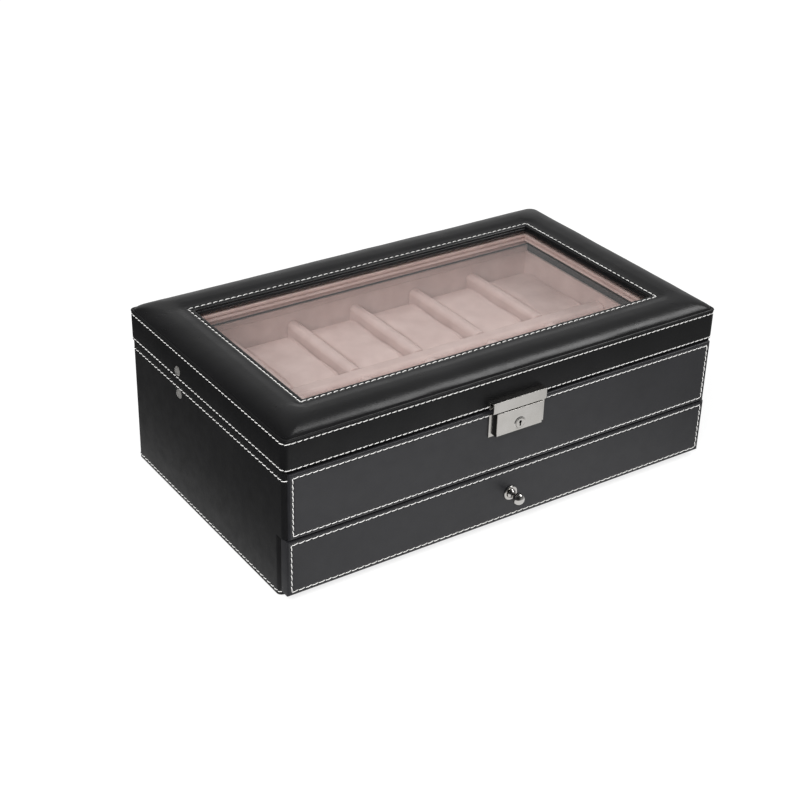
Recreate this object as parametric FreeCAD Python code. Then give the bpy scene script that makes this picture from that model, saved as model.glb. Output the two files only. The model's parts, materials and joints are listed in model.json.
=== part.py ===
import FreeCAD, Part
import math
import os

V = FreeCAD.Vector

# A hinged box for twelve watches with a window in its padded lid and one drawer below.
# Origin under the middle of the box, X to the right, Y to the back, Z up, in millimetres.

# Overall size with the lid shut, without lock, knob, rivets and hinges
WIDTH = 325.0
DEPTH = 195.0
HEIGHT = 115.0

# Coverings and edges
LEATHER = 1.0
TURN_IN = 0.6
PANEL_LEATHER = 0.8
CORNER_R = 4.0

# Case
CASE_SET_IN = 0.6
SIDE_BOARD = 9.5
END_BOARD = 8.3
BASE_FELT = 1.0
FELT_INSET = 5.0
BOTTOM_BOARD = 3.0
BAY_TOP = 43.0
SHELF = 4.0
RIM_LINING_DEPTH = 13.0
NOSE_SET_BACK = 6.5
NOSE_R = 3.5
NOSE_TURN_IN = 12.0

# Lid
PART_GAP = 0.6
LID_HEIGHT = 26.4
LID_WALL = 10.1
SHOULDER_RISE = 7.7
SHOULDER_WIDTH = 15.0
SHOULDER_STEPS = 6
CROWN = 0.8
CROWN_START = 5.0
CROWN_WIDTH = 8.0
LID_SIDE_BORDER = 31.0
LID_END_BORDER = 31.2
FRAME_BOARD = 3.8
FRAME_BOARD_INSET = 6.0
GLASS = 1.6
GLASS_SEAT = 8.0
GLASS_GAP = 0.5
GLASS_RISE = 0.6
RETAINER = 5.3
RETAINER_LIP = 1.9
RETAINER_STEP = 1.0
LID_RIM_LINING = 6.2

# Front panel over the drawer
PANEL_BOARD = 1.2
PANEL_MARGIN = 0.4
PANEL_END_INSET = 2.2

# Drawer
DRAWER_FRONT = 7.7
DRAWER_FRONT_EDGE_R = 1.2
DRAWER_FRONT_INSET = 1.1
DRAWER_FRONT_GAP = 0.4
DRAWER_BACK_GAP = 0.5
DRAWER_SIDE_GAP = 0.8
DRAWER_RUN_GAP = 0.2
DRAWER_SIDE = 4.0
DRAWER_BACK_ROOM = 3.6
DRAWER_BOX_HEIGHT = 34.0
DRAWER_BOTTOM = 2.5
DRAWER_LINING = 1.5
DRAWER_LINING_FLOOR = 1.0
DRAWER_LINING_DROP = 1.0

# Drawer knob
ROSETTE_R = 5.0
ROSETTE = 1.2
KNOB_LENGTH = 12.5
KNOB_FOOT_R = 3.1
KNOB_NECK_R = 1.9
KNOB_HEAD_R = 3.9
KNOB_WAIST_SHIFT = 0.4
KNOB_NECK_ANGLE = 50.0
KNOB_SIDE_ANGLE = 20.0
KNOB_SCREW_R = 1.3
KNOB_SCREW_HEAD_R = 3.0
KNOB_SCREW_HEAD = 2.0

# Watch tray
TRAY_FLOOR = 1.0
TRAY_WALL = 1.9
TRAY_GAP = 0.1
TRAY_WALL_DROP = 4.5
TRAY_END_DROP = 0.4
TRAY_END_STEP = 0.6
DIVIDER_DROP = 10.5
CROSS_DIVIDER = 8.6
LONG_DIVIDER = 12.0
DIVIDER_TOP_R = 3.6
CELLS_PER_ROW = 6

# Watch pillows
PILLOW_GAP = 0.3
PILLOW_HEIGHT = 25.2
PILLOW_CROWN = 0.5
PILLOW_CROWN_WIDTH = 8.0
PILLOW_END_TUCK = 1.5
PILLOW_END_WIDTH = 0.9
PILLOW_SEAMS = 2
PILLOW_SEAM_HALF = 0.4
PILLOW_SEAM_DEPTH = 0.6
PILLOW_SEAM_INSET = 2.2
PILLOW_SEAM_PITCH = 1.8

# Back hinges
HINGE_INSET = 72.5
HINGE_LENGTH = 30.0
KNUCKLE_R = 2.2
KNUCKLES = 5
KNUCKLE_GAP = 0.25
HINGE_FACE_GAP = 0.1
HINGE_PIN_R = 1.0
PIN_CLEARANCE = 0.05
HINGE_LEAF = 1.0
HINGE_LEAF_HEIGHT = 14.0
HINGE_SCREWS = 3
HINGE_SCREW_PITCH = 10.0
HINGE_SCREW_R = 1.0
HINGE_SCREW_HEAD_R = 1.9
HINGE_SCREW_HEAD = 0.8
HINGE_SCREW_LENGTH = 7.0

# Folding lid stays
STAY_INSET = 66.4
CASE_RIVET_DROP = 8.9
LID_RIVET_RISE = 6.7
STAY_SLOT_END_GAP = 4.6
STAY_SLOT_WIDTH = 4.9
STAY_SLOT_DROP = 16.0
STAY_SLOT_RISE = 12.8
ARM = 1.2
ARM_HALF_WIDTH = 3.5
ARM_GAP = 0.5
RIVET_R = 1.5
RIVET_FACE_R = 3.25
RIVET_FACE = 1.6
RIVET_BACK_R = 2.6
RIVET_BACK = 0.6
ARM_FACE_GAP = 0.1
STAY_BACK_GAP = 0.4

# Lock
LOCK_PLATE_WIDTH = 42.0
LOCK_PLATE_HEIGHT = 15.5
LOCK_PLATE_DROP = 2.0
LOCK_PLATE = 1.0
LOCK_PAD_WIDTH = 34.4
LOCK_PAD_FOOT = 1.0
LOCK_PAD_RISE = 0.8
LOCK_PAD = 3.3
LOCK_PAD_WALL = 0.8
LOCK_PLUG_RISE = 4.9
LOCK_PLUG_R = 3.2
LOCK_PLUG_PROUD = 0.7
KEYWAY = 1.0
KEYWAY_HEIGHT = 3.8
KEYWAY_DEPTH = 1.8
CAM = 0.7
CAM_GAP = 0.2
CAM_STUB_R = 1.3
CAM_HUB_R = 3.0
CAM_HOOK_IN_R = 5.5
CAM_HOOK_OUT_R = 6.9
CAM_HOOK_FROM = 155.0
CAM_HOOK_TO = 203.0
CAM_ARM_TO = 214.0
LOCK_SCREW_X = 13.0
LOCK_SCREW_R = 1.2
LOCK_SCREW_HEAD_R = 2.6
LOCK_SCREW_HEAD = 1.6

# Catch on the lid
CATCH_WIDTH = 40.0
CATCH_GAP = 0.6
CATCH_RISE = 6.1
CATCH_REACH = 5.3
CATCH_SHEET = 1.0
TONGUE_WIDTH = 8.0
TONGUE = 0.9
TONGUE_REST = 4.0
TONGUE_SLOT_GAP = 0.6
LIP_WIDTH = 2.4
LIP_HEIGHT = 1.0
CATCH_STUD_X = 12.0
CATCH_STUD_R = 1.2
CATCH_STUD = 6.0

# Places worked out from the sizes above
CASE_HEIGHT = HEIGHT - LID_HEIGHT - PART_GAP
CASE_X = WIDTH / 2 - CASE_SET_IN
CASE_Y = DEPTH / 2 - CASE_SET_IN
BOARD_X = CASE_X - LEATHER
BOARD_Y = CASE_Y - LEATHER
BOARD_TOP = CASE_HEIGHT - LEATHER
INNER_X = BOARD_X - SIDE_BOARD
INNER_Y = BOARD_Y - END_BOARD
RIM_INNER_X = INNER_X - TURN_IN
RIM_INNER_Y = INNER_Y - TURN_IN
NOSE_Y = -CASE_Y + NOSE_SET_BACK
FRONT_BOARD_Z = BAY_TOP + LEATHER
BOTTOM_TOP = BASE_FELT + BOTTOM_BOARD
SHELF_TOP = BAY_TOP + SHELF
TRAY_X = RIM_INNER_X - TRAY_GAP - TRAY_WALL
TRAY_Y = RIM_INNER_Y - TRAY_GAP - TRAY_WALL
TRAY_BASE = SHELF_TOP + TRAY_FLOOR
TRAY_WALL_TOP = CASE_HEIGHT - TRAY_WALL_DROP
TRAY_END_TOP = CASE_HEIGHT - TRAY_END_DROP
DIVIDER_TOP = CASE_HEIGHT - DIVIDER_DROP
DIVIDER_PITCH = 2 * TRAY_X / CELLS_PER_ROW

LID_X = WIDTH / 2
LID_Y = DEPTH / 2
LID_RIM = CASE_HEIGHT + PART_GAP
LID_BOARD_X = LID_X - LEATHER
LID_BOARD_Y = LID_Y - LEATHER
LID_BOARD_BOTTOM = LID_RIM + TURN_IN
LID_INNER_X = LID_BOARD_X - LID_WALL
LID_INNER_Y = LID_BOARD_Y - LID_WALL
SEAM_Z = HEIGHT - SHOULDER_RISE
LID_BOARD_TOP = SEAM_Z + LEATHER
WINDOW_X = LID_X - LID_SIDE_BORDER
WINDOW_Y = LID_Y - LID_END_BORDER
GLASS_TOP = LID_BOARD_TOP + GLASS_RISE
GLASS_BOTTOM = GLASS_TOP - GLASS
GLASS_X = WINDOW_X + GLASS_SEAT
GLASS_Y = WINDOW_Y + GLASS_SEAT
RETAINER_BOTTOM = GLASS_BOTTOM - RETAINER

PANEL_BACK = -CASE_Y
PANEL_FACE = PANEL_BACK - PANEL_BOARD - PANEL_LEATHER
PANEL_X = CASE_X - PANEL_END_INSET
PANEL_BOTTOM = BAY_TOP + PANEL_MARGIN
PANEL_TOP = CASE_HEIGHT - PANEL_MARGIN

DRAWER_FRONT_BACK = NOSE_Y - DRAWER_BACK_GAP
DRAWER_FACE = DRAWER_FRONT_BACK - DRAWER_FRONT
DRAWER_FRONT_X = CASE_X - DRAWER_FRONT_INSET
DRAWER_FRONT_BOTTOM = BOTTOM_TOP + DRAWER_FRONT_GAP
DRAWER_FRONT_TOP = BAY_TOP - DRAWER_FRONT_GAP
DRAWER_X = RIM_INNER_X - DRAWER_SIDE_GAP
DRAWER_BOX_BOTTOM = BOTTOM_TOP + DRAWER_RUN_GAP
DRAWER_BOX_TOP = DRAWER_BOX_BOTTOM + DRAWER_BOX_HEIGHT
DRAWER_BOX_BACK = INNER_Y - DRAWER_BACK_ROOM
DRAWER_FLOOR = DRAWER_BOX_BOTTOM + DRAWER_BOTTOM
KNOB_Z = (DRAWER_FRONT_BOTTOM + DRAWER_FRONT_TOP) / 2

HINGE_X = LID_X - HINGE_INSET
HINGE_Y = LID_Y + KNUCKLE_R + HINGE_FACE_GAP
HINGE_Z = (CASE_HEIGHT + LID_RIM) / 2
CASE_LEAF_TOP = HINGE_Z - KNUCKLE_R - HINGE_FACE_GAP
LID_LEAF_BOTTOM = HINGE_Z + KNUCKLE_R + HINGE_FACE_GAP
CASE_SCREW_Z = CASE_LEAF_TOP - HINGE_LEAF_HEIGHT / 2
LID_SCREW_Z = LID_LEAF_BOTTOM + HINGE_LEAF_HEIGHT / 2
CASE_PIVOT = (LID_Y - STAY_INSET, CASE_HEIGHT - CASE_RIVET_DROP)
STAY_REACH = math.dist(CASE_PIVOT, (HINGE_Y, HINGE_Z))
LID_PIVOT_Z = LID_RIM + LID_RIVET_RISE
LID_PIVOT = (HINGE_Y - math.sqrt(STAY_REACH**2 - (LID_PIVOT_Z - HINGE_Z) ** 2), LID_PIVOT_Z)
ELBOW = (CASE_PIVOT[0] + LID_PIVOT[0] - HINGE_Y, CASE_PIVOT[1] + LID_PIVOT[1] - HINGE_Z)
STAY_SLOT_FRONT = ELBOW[0] - ARM_HALF_WIDTH - STAY_SLOT_END_GAP
STAY_SLOT_BACK = CASE_PIVOT[0] + ARM_HALF_WIDTH + STAY_SLOT_END_GAP
STAY_SLOT_X = INNER_X + STAY_SLOT_WIDTH
LOWER_ARM_X = INNER_X + STAY_BACK_GAP + RIVET_BACK + ARM_FACE_GAP
UPPER_ARM_X = LOWER_ARM_X + ARM + ARM_GAP

LOCK_PLATE_TOP = CASE_HEIGHT - LOCK_PLATE_DROP
LOCK_PLATE_BOTTOM = LOCK_PLATE_TOP - LOCK_PLATE_HEIGHT
LOCK_PAD_TOP = LOCK_PLATE_TOP + LOCK_PAD_RISE
LOCK_PAD_BOTTOM = LOCK_PLATE_BOTTOM + LOCK_PAD_FOOT
LOCK_PLUG_Z = LOCK_PAD_BOTTOM + LOCK_PLUG_RISE
CATCH_BOTTOM = LOCK_PAD_TOP + CATCH_GAP
CATCH_TOP = LID_RIM + CATCH_RISE
CATCH_STUD_Z = (LID_RIM + CATCH_TOP) / 2
TONGUE_BOTTOM = LOCK_PLUG_Z + TONGUE_REST
PAD_FACE = PANEL_FACE - LOCK_PLATE - LOCK_PAD
PLATE_FACE = PANEL_FACE - LOCK_PLATE
CATCH_FACE = -LID_Y - CATCH_REACH
TONGUE_FRONT = CATCH_FACE + CATCH_SHEET
TONGUE_BACK = TONGUE_FRONT + TONGUE
CAM_BACK = PLATE_FACE - CAM_GAP
CAM_FRONT = CAM_BACK - CAM

# How near two places count as one
SAME = 0.01


def block(x0, x1, y0, y1, z0, z1):
    """A square-edged block between two corners."""
    return Part.makeBox(x1 - x0, y1 - y0, z1 - z0, V(x0, y0, z0))


def outline(half_x, half_y, radius, z, centre=(0.0, 0.0)):
    """A closed rectangle with quarter-round corners, lying flat at one height."""
    arcs = []
    for turn, (side_x, side_y) in enumerate(((1, 1), (-1, 1), (-1, -1), (1, -1))):
        corner_x = centre[0] + side_x * (half_x - radius)
        corner_y = centre[1] + side_y * (half_y - radius)
        points = []
        for step in (0, 45, 90):
            angle = math.radians(90 * turn + step)
            points.append(V(corner_x + radius * math.cos(angle), corner_y + radius * math.sin(angle), z))
        arcs.append(points)
    edges = []
    for turn, points in enumerate(arcs):
        edges.append(Part.Arc(*points).toShape())
        edges.append(Part.makeLine(points[2], arcs[(turn + 1) % 4][0]))
    return Part.Wire(edges)


def slab(half_x, half_y, z0, z1, radius):
    """A slab about the middle of the box, with rounded upright corners."""
    return Part.Face(outline(half_x, half_y, radius, z0)).extrude(V(0, 0, z1 - z0))


def plate(half_x, half_y, z0, z1):
    """A square-cornered slab about the middle of the box."""
    return block(-half_x, half_x, -half_y, half_y, z0, z1)


def rod(radius, start, end):
    """A round bar between two points."""
    along = V(*end) - V(*start)
    return Part.makeCylinder(radius, along.Length, V(*start), along)


def mirrored(shape):
    """The same piece on the other side of the box."""
    return shape.mirror(V(0, 0, 0), V(1, 0, 0))


def both_sides(shape):
    """A piece and its mirror image."""
    return [shape, mirrored(shape)]


def save(name, *pieces):
    """Writes the solids of one node."""
    solids = [solid for piece in pieces for solid in piece.Solids]
    shape = solids[0] if len(solids) == 1 else Part.makeCompound(solids)
    shape.exportStep(os.path.join("parts", name + ".step"))
    print(name, len(solids), round(shape.Volume, 1), shape.isValid())


def stay_slot(z0, z1):
    """The space that the folding stay needs beside its pivot, on the right."""
    return block(INNER_X, STAY_SLOT_X, STAY_SLOT_FRONT, STAY_SLOT_BACK, z0, z1)


def stay_slots(z0, z1):
    """The spaces for both stays."""
    slot = stay_slot(z0, z1)
    return slot.fuse(mirrored(slot))


def pivot_rod(radius, pivot, x0, x1):
    """A bar across the box through a pivot given as its place in Y and Z."""
    return rod(radius, (x0, pivot[0], pivot[1]), (x1, pivot[0], pivot[1]))


def hinge_screw_places(z):
    """Where the screws of both hinge leaves go in, along X, at one height."""
    places = []
    for side in (-1, 1):
        for index in range(HINGE_SCREWS):
            shift = (index - (HINGE_SCREWS - 1) / 2) * HINGE_SCREW_PITCH
            places.append((side * HINGE_X + shift, z))
    return places


def screw_holes(z, skin_y):
    """The holes that the hinge screws make in a back wall."""
    holes = []
    for x, height in hinge_screw_places(z):
        holes.append(rod(HINGE_SCREW_R, (x, skin_y - HINGE_SCREW_LENGTH, height), (x, skin_y, height)))
    return Part.makeCompound(holes)


def lock_screw_holes(y0, y1):
    """The holes for the two screws behind the lock."""
    holes = []
    for side in (-1, 1):
        x = side * LOCK_SCREW_X
        holes.append(rod(LOCK_SCREW_R, (x, y0, LOCK_PLUG_Z), (x, y1, LOCK_PLUG_Z)))
    return Part.makeCompound(holes)


def side_wall():
    """The right side board, with its nose beside the drawer and the pocket for the stay."""
    board = block(INNER_X, BOARD_X, -INNER_Y, INNER_Y, BASE_FELT, BOARD_TOP)
    nose = block(INNER_X, BOARD_X, NOSE_Y + LEATHER, -INNER_Y + NOSE_R, BASE_FELT, BAY_TOP)
    corner = [edge for edge in nose.Edges if on_nose_corner(edge, BOARD_X, NOSE_Y + LEATHER)]
    nose = nose.makeFillet(NOSE_R - LEATHER, corner)
    board = board.fuse(nose).removeSplitter()
    board = board.cut(stay_slot(BOARD_TOP - STAY_SLOT_DROP + LEATHER, BOARD_TOP))
    return board.cut(pivot_rod(RIVET_R, CASE_PIVOT, INNER_X, BOARD_X))


def on_nose_corner(edge, x, y):
    """Whether an edge is the upright one at a place in X and Y."""
    box = edge.BoundBox
    there = abs(box.XMin - x) < SAME and abs(box.YMin - y) < SAME
    return there and box.XLength < SAME and box.ZLength > SAME


def back_wall():
    """The back board, with screw holes for the hinges."""
    whole = slab(BOARD_X, BOARD_Y, BASE_FELT, BOARD_TOP, CORNER_R - LEATHER)
    board = whole.common(block(-WIDTH, WIDTH, INNER_Y, DEPTH, 0, HEIGHT))
    return board.cut(screw_holes(CASE_SCREW_Z, CASE_Y))


def front_wall():
    """The front board over the drawer, bored for the lock's two screws."""
    whole = slab(BOARD_X, BOARD_Y, FRONT_BOARD_Z, BOARD_TOP, CORNER_R - LEATHER)
    board = whole.common(block(-WIDTH, WIDTH, -DEPTH, -INNER_Y, 0, HEIGHT))
    board = board.cut(lock_screw_holes(-BOARD_Y, -INNER_Y))
    for side in (-1, 1):
        head_from = (side * LOCK_SCREW_X, -INNER_Y - LOCK_SCREW_HEAD, LOCK_PLUG_Z)
        head_to = (side * LOCK_SCREW_X, -INNER_Y, LOCK_PLUG_Z)
        board = board.cut(rod(LOCK_SCREW_HEAD_R, head_from, head_to))
    return board


def nose_leather():
    """The covering round the front end of the right side wall."""
    wrap = block(RIM_INNER_X, CASE_X, NOSE_Y, NOSE_Y + NOSE_TURN_IN, BASE_FELT, BAY_TOP)
    outer = [edge for edge in wrap.Edges if on_nose_corner(edge, CASE_X, NOSE_Y)]
    wrap = wrap.makeFillet(NOSE_R, outer)
    return wrap.cut(side_wall())


def case_leather():
    """The covering of the case: outer skin, rim, the turned-in strip and the ends by the drawer."""
    skin = slab(CASE_X, CASE_Y, BASE_FELT, CASE_HEIGHT, CORNER_R)
    skin = skin.cut(slab(BOARD_X, BOARD_Y, BASE_FELT, BOARD_TOP, CORNER_R - LEATHER))
    skin = skin.cut(plate(RIM_INNER_X, RIM_INNER_Y, BASE_FELT, CASE_HEIGHT))
    strip_bottom = CASE_HEIGHT - RIM_LINING_DEPTH
    strip = block(RIM_INNER_X, INNER_X, -INNER_Y, INNER_Y, strip_bottom, BOARD_TOP)
    for side in both_sides(strip):
        skin = skin.fuse(side)
    bay_front = block(-WIDTH, WIDTH, -DEPTH, NOSE_Y + NOSE_TURN_IN, 0, BAY_TOP)
    skin = skin.cut(bay_front)
    whole = slab(CASE_X, CASE_Y, BAY_TOP, FRONT_BOARD_Z, CORNER_R)
    overhang = whole.common(block(-WIDTH, WIDTH, -DEPTH, -INNER_Y, 0, HEIGHT))
    skin = skin.fuse(overhang)
    for nose in both_sides(nose_leather()):
        skin = skin.fuse(nose)
    skin = skin.cut(stay_slots(BOARD_TOP, CASE_HEIGHT))
    for hole in both_sides(pivot_rod(RIVET_R, CASE_PIVOT, BOARD_X, CASE_X)):
        skin = skin.cut(hole)
    skin = skin.cut(screw_holes(CASE_SCREW_Z, CASE_Y))
    skin = skin.cut(lock_screw_holes(-CASE_Y, -BOARD_Y))
    return skin.removeSplitter()


def make_case_boards():
    """The wooden shell of the case and the felt under it."""
    right = side_wall()
    save("case_right_board", right)
    save("case_left_board", mirrored(right))
    save("case_back_board", back_wall())
    save("case_front_board", front_wall())
    save("mid_shelf", plate(INNER_X, INNER_Y, BAY_TOP, SHELF_TOP))
    bottom = block(-INNER_X, INNER_X, NOSE_Y + LEATHER, INNER_Y, BASE_FELT, BOTTOM_TOP)
    for nose in both_sides(nose_leather()):
        bottom = bottom.cut(nose)
    save("bottom_board", bottom)
    felt_x = CASE_X - FELT_INSET
    save("base_felt", block(-felt_x, felt_x, NOSE_Y + FELT_INSET, CASE_Y - FELT_INSET, 0, BASE_FELT))
    save("case_leather", case_leather())


def make_front_panel():
    """The stitched panel on the case front, a thin board in its own leather."""
    leather = block(-PANEL_X, PANEL_X, PANEL_FACE, PANEL_BACK, PANEL_BOTTOM, PANEL_TOP)
    board_x = PANEL_X - PANEL_LEATHER
    board_face = PANEL_FACE + PANEL_LEATHER
    board_bottom = PANEL_BOTTOM + PANEL_LEATHER
    board_top = PANEL_TOP - PANEL_LEATHER
    board = block(-board_x, board_x, board_face, PANEL_BACK, board_bottom, board_top)
    holes = lock_screw_holes(PANEL_FACE, PANEL_BACK)
    save("upper_panel_board", board.cut(holes))
    save("upper_panel_leather", leather.cut(board).cut(holes))


def divider(length_from, length_to, centre, thickness, across):
    """A padded divider with a rounded top, along Y, or along X when it goes across."""
    half = thickness / 2
    low = TRAY_BASE
    bend = DIVIDER_TOP - DIVIDER_TOP_R
    slant = DIVIDER_TOP_R * math.sin(math.radians(45))
    inner = half - DIVIDER_TOP_R

    def spot(side, height):
        if across:
            return V(length_from, centre + side, height)
        return V(centre + side, length_from, height)

    left = Part.Arc(spot(-half, bend), spot(-inner - slant, bend + slant), spot(-inner, DIVIDER_TOP))
    right = Part.Arc(spot(inner, DIVIDER_TOP), spot(inner + slant, bend + slant), spot(half, bend))
    edges = [
        Part.makeLine(spot(-half, low), spot(-half, bend)),
        left.toShape(),
        Part.makeLine(spot(-inner, DIVIDER_TOP), spot(inner, DIVIDER_TOP)),
        right.toShape(),
        Part.makeLine(spot(half, bend), spot(half, low)),
        Part.makeLine(spot(half, low), spot(-half, low)),
    ]
    reach = length_to - length_from
    way = V(reach, 0, 0) if across else V(0, reach, 0)
    return Part.Face(Part.Wire(edges)).extrude(way)


def cross_divider_places():
    """The middle of each cross divider along X."""
    return [(index - CELLS_PER_ROW / 2) * DIVIDER_PITCH for index in range(1, CELLS_PER_ROW)]


def cell_edges():
    """The left and right walls of each cell of a row."""
    edges = [-TRAY_X]
    for x in cross_divider_places():
        edges.append(x - CROSS_DIVIDER / 2)
        edges.append(x + CROSS_DIVIDER / 2)
    edges.append(TRAY_X)
    return list(zip(edges[0::2], edges[1::2]))


def pillow_tucks():
    """Distances in from a pillow's end, with how far it is drawn in there: the edge, each seam and the crown."""
    tucks = [(0.0, PILLOW_END_TUCK), (PILLOW_END_WIDTH, PILLOW_CROWN)]
    for count in range(PILLOW_SEAMS):
        seam = PILLOW_SEAM_INSET + count * PILLOW_SEAM_PITCH
        tucks.append((seam - PILLOW_SEAM_HALF, PILLOW_CROWN))
        tucks.append((seam, PILLOW_CROWN + PILLOW_SEAM_DEPTH))
        tucks.append((seam + PILLOW_SEAM_HALF, PILLOW_CROWN))
    tucks.append((seam + PILLOW_CROWN_WIDTH, 0.0))
    return tucks


def pillow_outline(x, centre_y, half_y, tuck):
    """A pillow cut across: flat above and below, and full-round at the back and the front."""
    radius = PILLOW_HEIGHT / 2 - tuck
    straight = half_y - PILLOW_HEIGHT / 2

    def spot(side, rise):
        return V(x, centre_y + side, TRAY_BASE + PILLOW_HEIGHT / 2 + rise)

    back = Part.Arc(spot(straight, radius), spot(straight + radius, 0), spot(straight, -radius))
    front = Part.Arc(spot(-straight, -radius), spot(-straight - radius, 0), spot(-straight, radius))
    edges = [
        back.toShape(),
        Part.makeLine(spot(straight, -radius), spot(-straight, -radius)),
        front.toShape(),
        Part.makeLine(spot(-straight, radius), spot(straight, radius)),
    ]
    return Part.Wire(edges)


def pillow(centre_x, centre_y, half_x, half_y):
    """A watch pillow: an oval tube of foam in velvet, with a double seam round each end."""
    places = [(distance - half_x, tuck) for distance, tuck in pillow_tucks()]
    places += [(-x, tuck) for x, tuck in reversed(places)]
    wires = [pillow_outline(centre_x + x, centre_y, half_y, tuck) for x, tuck in places]
    return Part.makeLoft(wires, True, True)


def make_watch_tray():
    """The velvet tray with its dividers and twelve pillows."""
    outer_x = TRAY_X + TRAY_WALL
    outer_y = TRAY_Y + TRAY_WALL
    tray = plate(outer_x, outer_y, SHELF_TOP, TRAY_WALL_TOP)
    tray = tray.cut(plate(TRAY_X, TRAY_Y, TRAY_BASE, TRAY_WALL_TOP))
    ends = plate(outer_x, outer_y, TRAY_WALL_TOP, TRAY_END_TOP)
    ends = ends.cut(plate(outer_x, TRAY_Y + TRAY_END_STEP, TRAY_WALL_TOP, TRAY_END_TOP))
    save("compartment_lining", tray.fuse(ends).removeSplitter())
    half = LONG_DIVIDER / 2
    save("long_divider", divider(-TRAY_X, TRAY_X, 0.0, LONG_DIVIDER, True))
    places = cross_divider_places()
    save("cross_dividers_rear", *[divider(half, TRAY_Y, x, CROSS_DIVIDER, False) for x in places])
    save("cross_dividers_front", *[divider(-TRAY_Y, -half, x, CROSS_DIVIDER, False) for x in places])
    centre_y = (half + TRAY_Y) / 2
    half_y = (TRAY_Y - half) / 2 - PILLOW_GAP
    half_x = (DIVIDER_PITCH - CROSS_DIVIDER) / 2 - PILLOW_GAP
    for number, (left, right) in enumerate(cell_edges(), start=1):
        centre_x = (left + right) / 2
        save("watch_pillow_rear_%d" % number, pillow(centre_x, centre_y, half_x, half_y))
        save("watch_pillow_front_%d" % number, pillow(centre_x, -centre_y, half_x, half_y))


def lid_sections(skin):
    """The rounded shoulder of the lid, as insets and heights, under a skin of some thickness."""
    sections = []
    for step in range(SHOULDER_STEPS + 1):
        angle = math.radians(90 * step / SHOULDER_STEPS)
        inset = skin + (SHOULDER_WIDTH - skin) * (1 - math.cos(angle))
        sections.append((inset, SEAM_Z + (SHOULDER_RISE - skin) * math.sin(angle)))
    return sections


def lid_pad_form(skin):
    """The padded top with its window, from the seam up, under a skin of some thickness."""
    wires = []
    for inset, height in lid_sections(skin):
        radius = CORNER_R - skin + inset / 2
        wires.append(outline(LID_X - inset, LID_Y - inset, radius, height))
    form = Part.makeLoft(wires, True, True)
    flat = HEIGHT - CROWN - skin
    top = HEIGHT - skin
    near = CROWN_START
    far = CROWN_START + CROWN_WIDTH
    dish_wires = [
        outline(WINDOW_X + near, WINDOW_Y + near, near, flat),
        outline(WINDOW_X + far, WINDOW_Y + far, far, top),
    ]
    form = form.cut(Part.makeLoft(dish_wires, True, True))
    return form.cut(plate(WINDOW_X + skin, WINDOW_Y + skin, SEAM_Z, HEIGHT))


def lid_frame_board():
    """The ring of board under the padding."""
    board_x = LID_X - FRAME_BOARD_INSET
    board_y = LID_Y - FRAME_BOARD_INSET
    board_top = LID_BOARD_TOP + FRAME_BOARD
    ring = slab(board_x, board_y, LID_BOARD_TOP, board_top, FRAME_BOARD_INSET)
    ring = ring.cut(plate(WINDOW_X + LEATHER, WINDOW_Y + LEATHER, LID_BOARD_TOP, board_top))
    return ring.cut(glass_seat())


def glass_seat():
    """The room for the glass between the frame board and the retainer, with a gap round its edges."""
    return plate(GLASS_X + GLASS_GAP, GLASS_Y + GLASS_GAP, GLASS_BOTTOM, GLASS_TOP)


def catch_stud(side):
    """One of the two studs that hold the catch on the lid's front wall, on its left or right."""
    x = side * CATCH_STUD_X
    return rod(CATCH_STUD_R, (x, -LID_Y, CATCH_STUD_Z), (x, -LID_Y + CATCH_STUD, CATCH_STUD_Z))


def lid_walls():
    """The four wall boards of the lid, with the recesses for the stays."""
    whole = slab(LID_BOARD_X, LID_BOARD_Y, LID_BOARD_BOTTOM, LID_BOARD_TOP, CORNER_R - LEATHER)
    front = whole.common(block(-WIDTH, WIDTH, -DEPTH, -LID_INNER_Y, 0, HEIGHT))
    for side in (-1, 1):
        front = front.cut(catch_stud(side))
    back = whole.common(block(-WIDTH, WIDTH, LID_INNER_Y, DEPTH, 0, HEIGHT))
    back = back.cut(screw_holes(LID_SCREW_Z, LID_Y))
    right = block(LID_INNER_X, LID_BOARD_X, -LID_INNER_Y, LID_INNER_Y, LID_BOARD_BOTTOM, LID_BOARD_TOP)
    right = right.cut(stay_slot(LID_BOARD_BOTTOM, LID_BOARD_BOTTOM + STAY_SLOT_RISE))
    right = right.cut(pivot_rod(RIVET_R, LID_PIVOT, LID_INNER_X, LID_BOARD_X))
    return [front, back, right, mirrored(right)]


def lid_skirt():
    """The covering of the lid's walls, turned under the rim and up the inside."""
    skin = slab(LID_X, LID_Y, LID_RIM, SEAM_Z, CORNER_R)
    skin = skin.cut(slab(LID_BOARD_X, LID_BOARD_Y, LID_BOARD_BOTTOM, SEAM_Z, CORNER_R - LEATHER))
    inner_x = LID_INNER_X - TURN_IN
    inner_y = LID_INNER_Y - TURN_IN
    skin = skin.cut(plate(inner_x, inner_y, LID_RIM, SEAM_Z))
    strip_top = LID_BOARD_BOTTOM + LID_RIM_LINING
    strip = block(inner_x, LID_INNER_X, -LID_INNER_Y, LID_INNER_Y, LID_BOARD_BOTTOM, strip_top)
    for side in both_sides(strip):
        skin = skin.fuse(side)
    skin = skin.cut(stay_slots(LID_RIM, LID_BOARD_BOTTOM))
    for hole in both_sides(pivot_rod(RIVET_R, LID_PIVOT, LID_BOARD_X, LID_X)):
        skin = skin.cut(hole)
    skin = skin.cut(screw_holes(LID_SCREW_Z, LID_Y))
    for side in (-1, 1):
        skin = skin.cut(catch_stud(side))
    return skin.removeSplitter()


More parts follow.
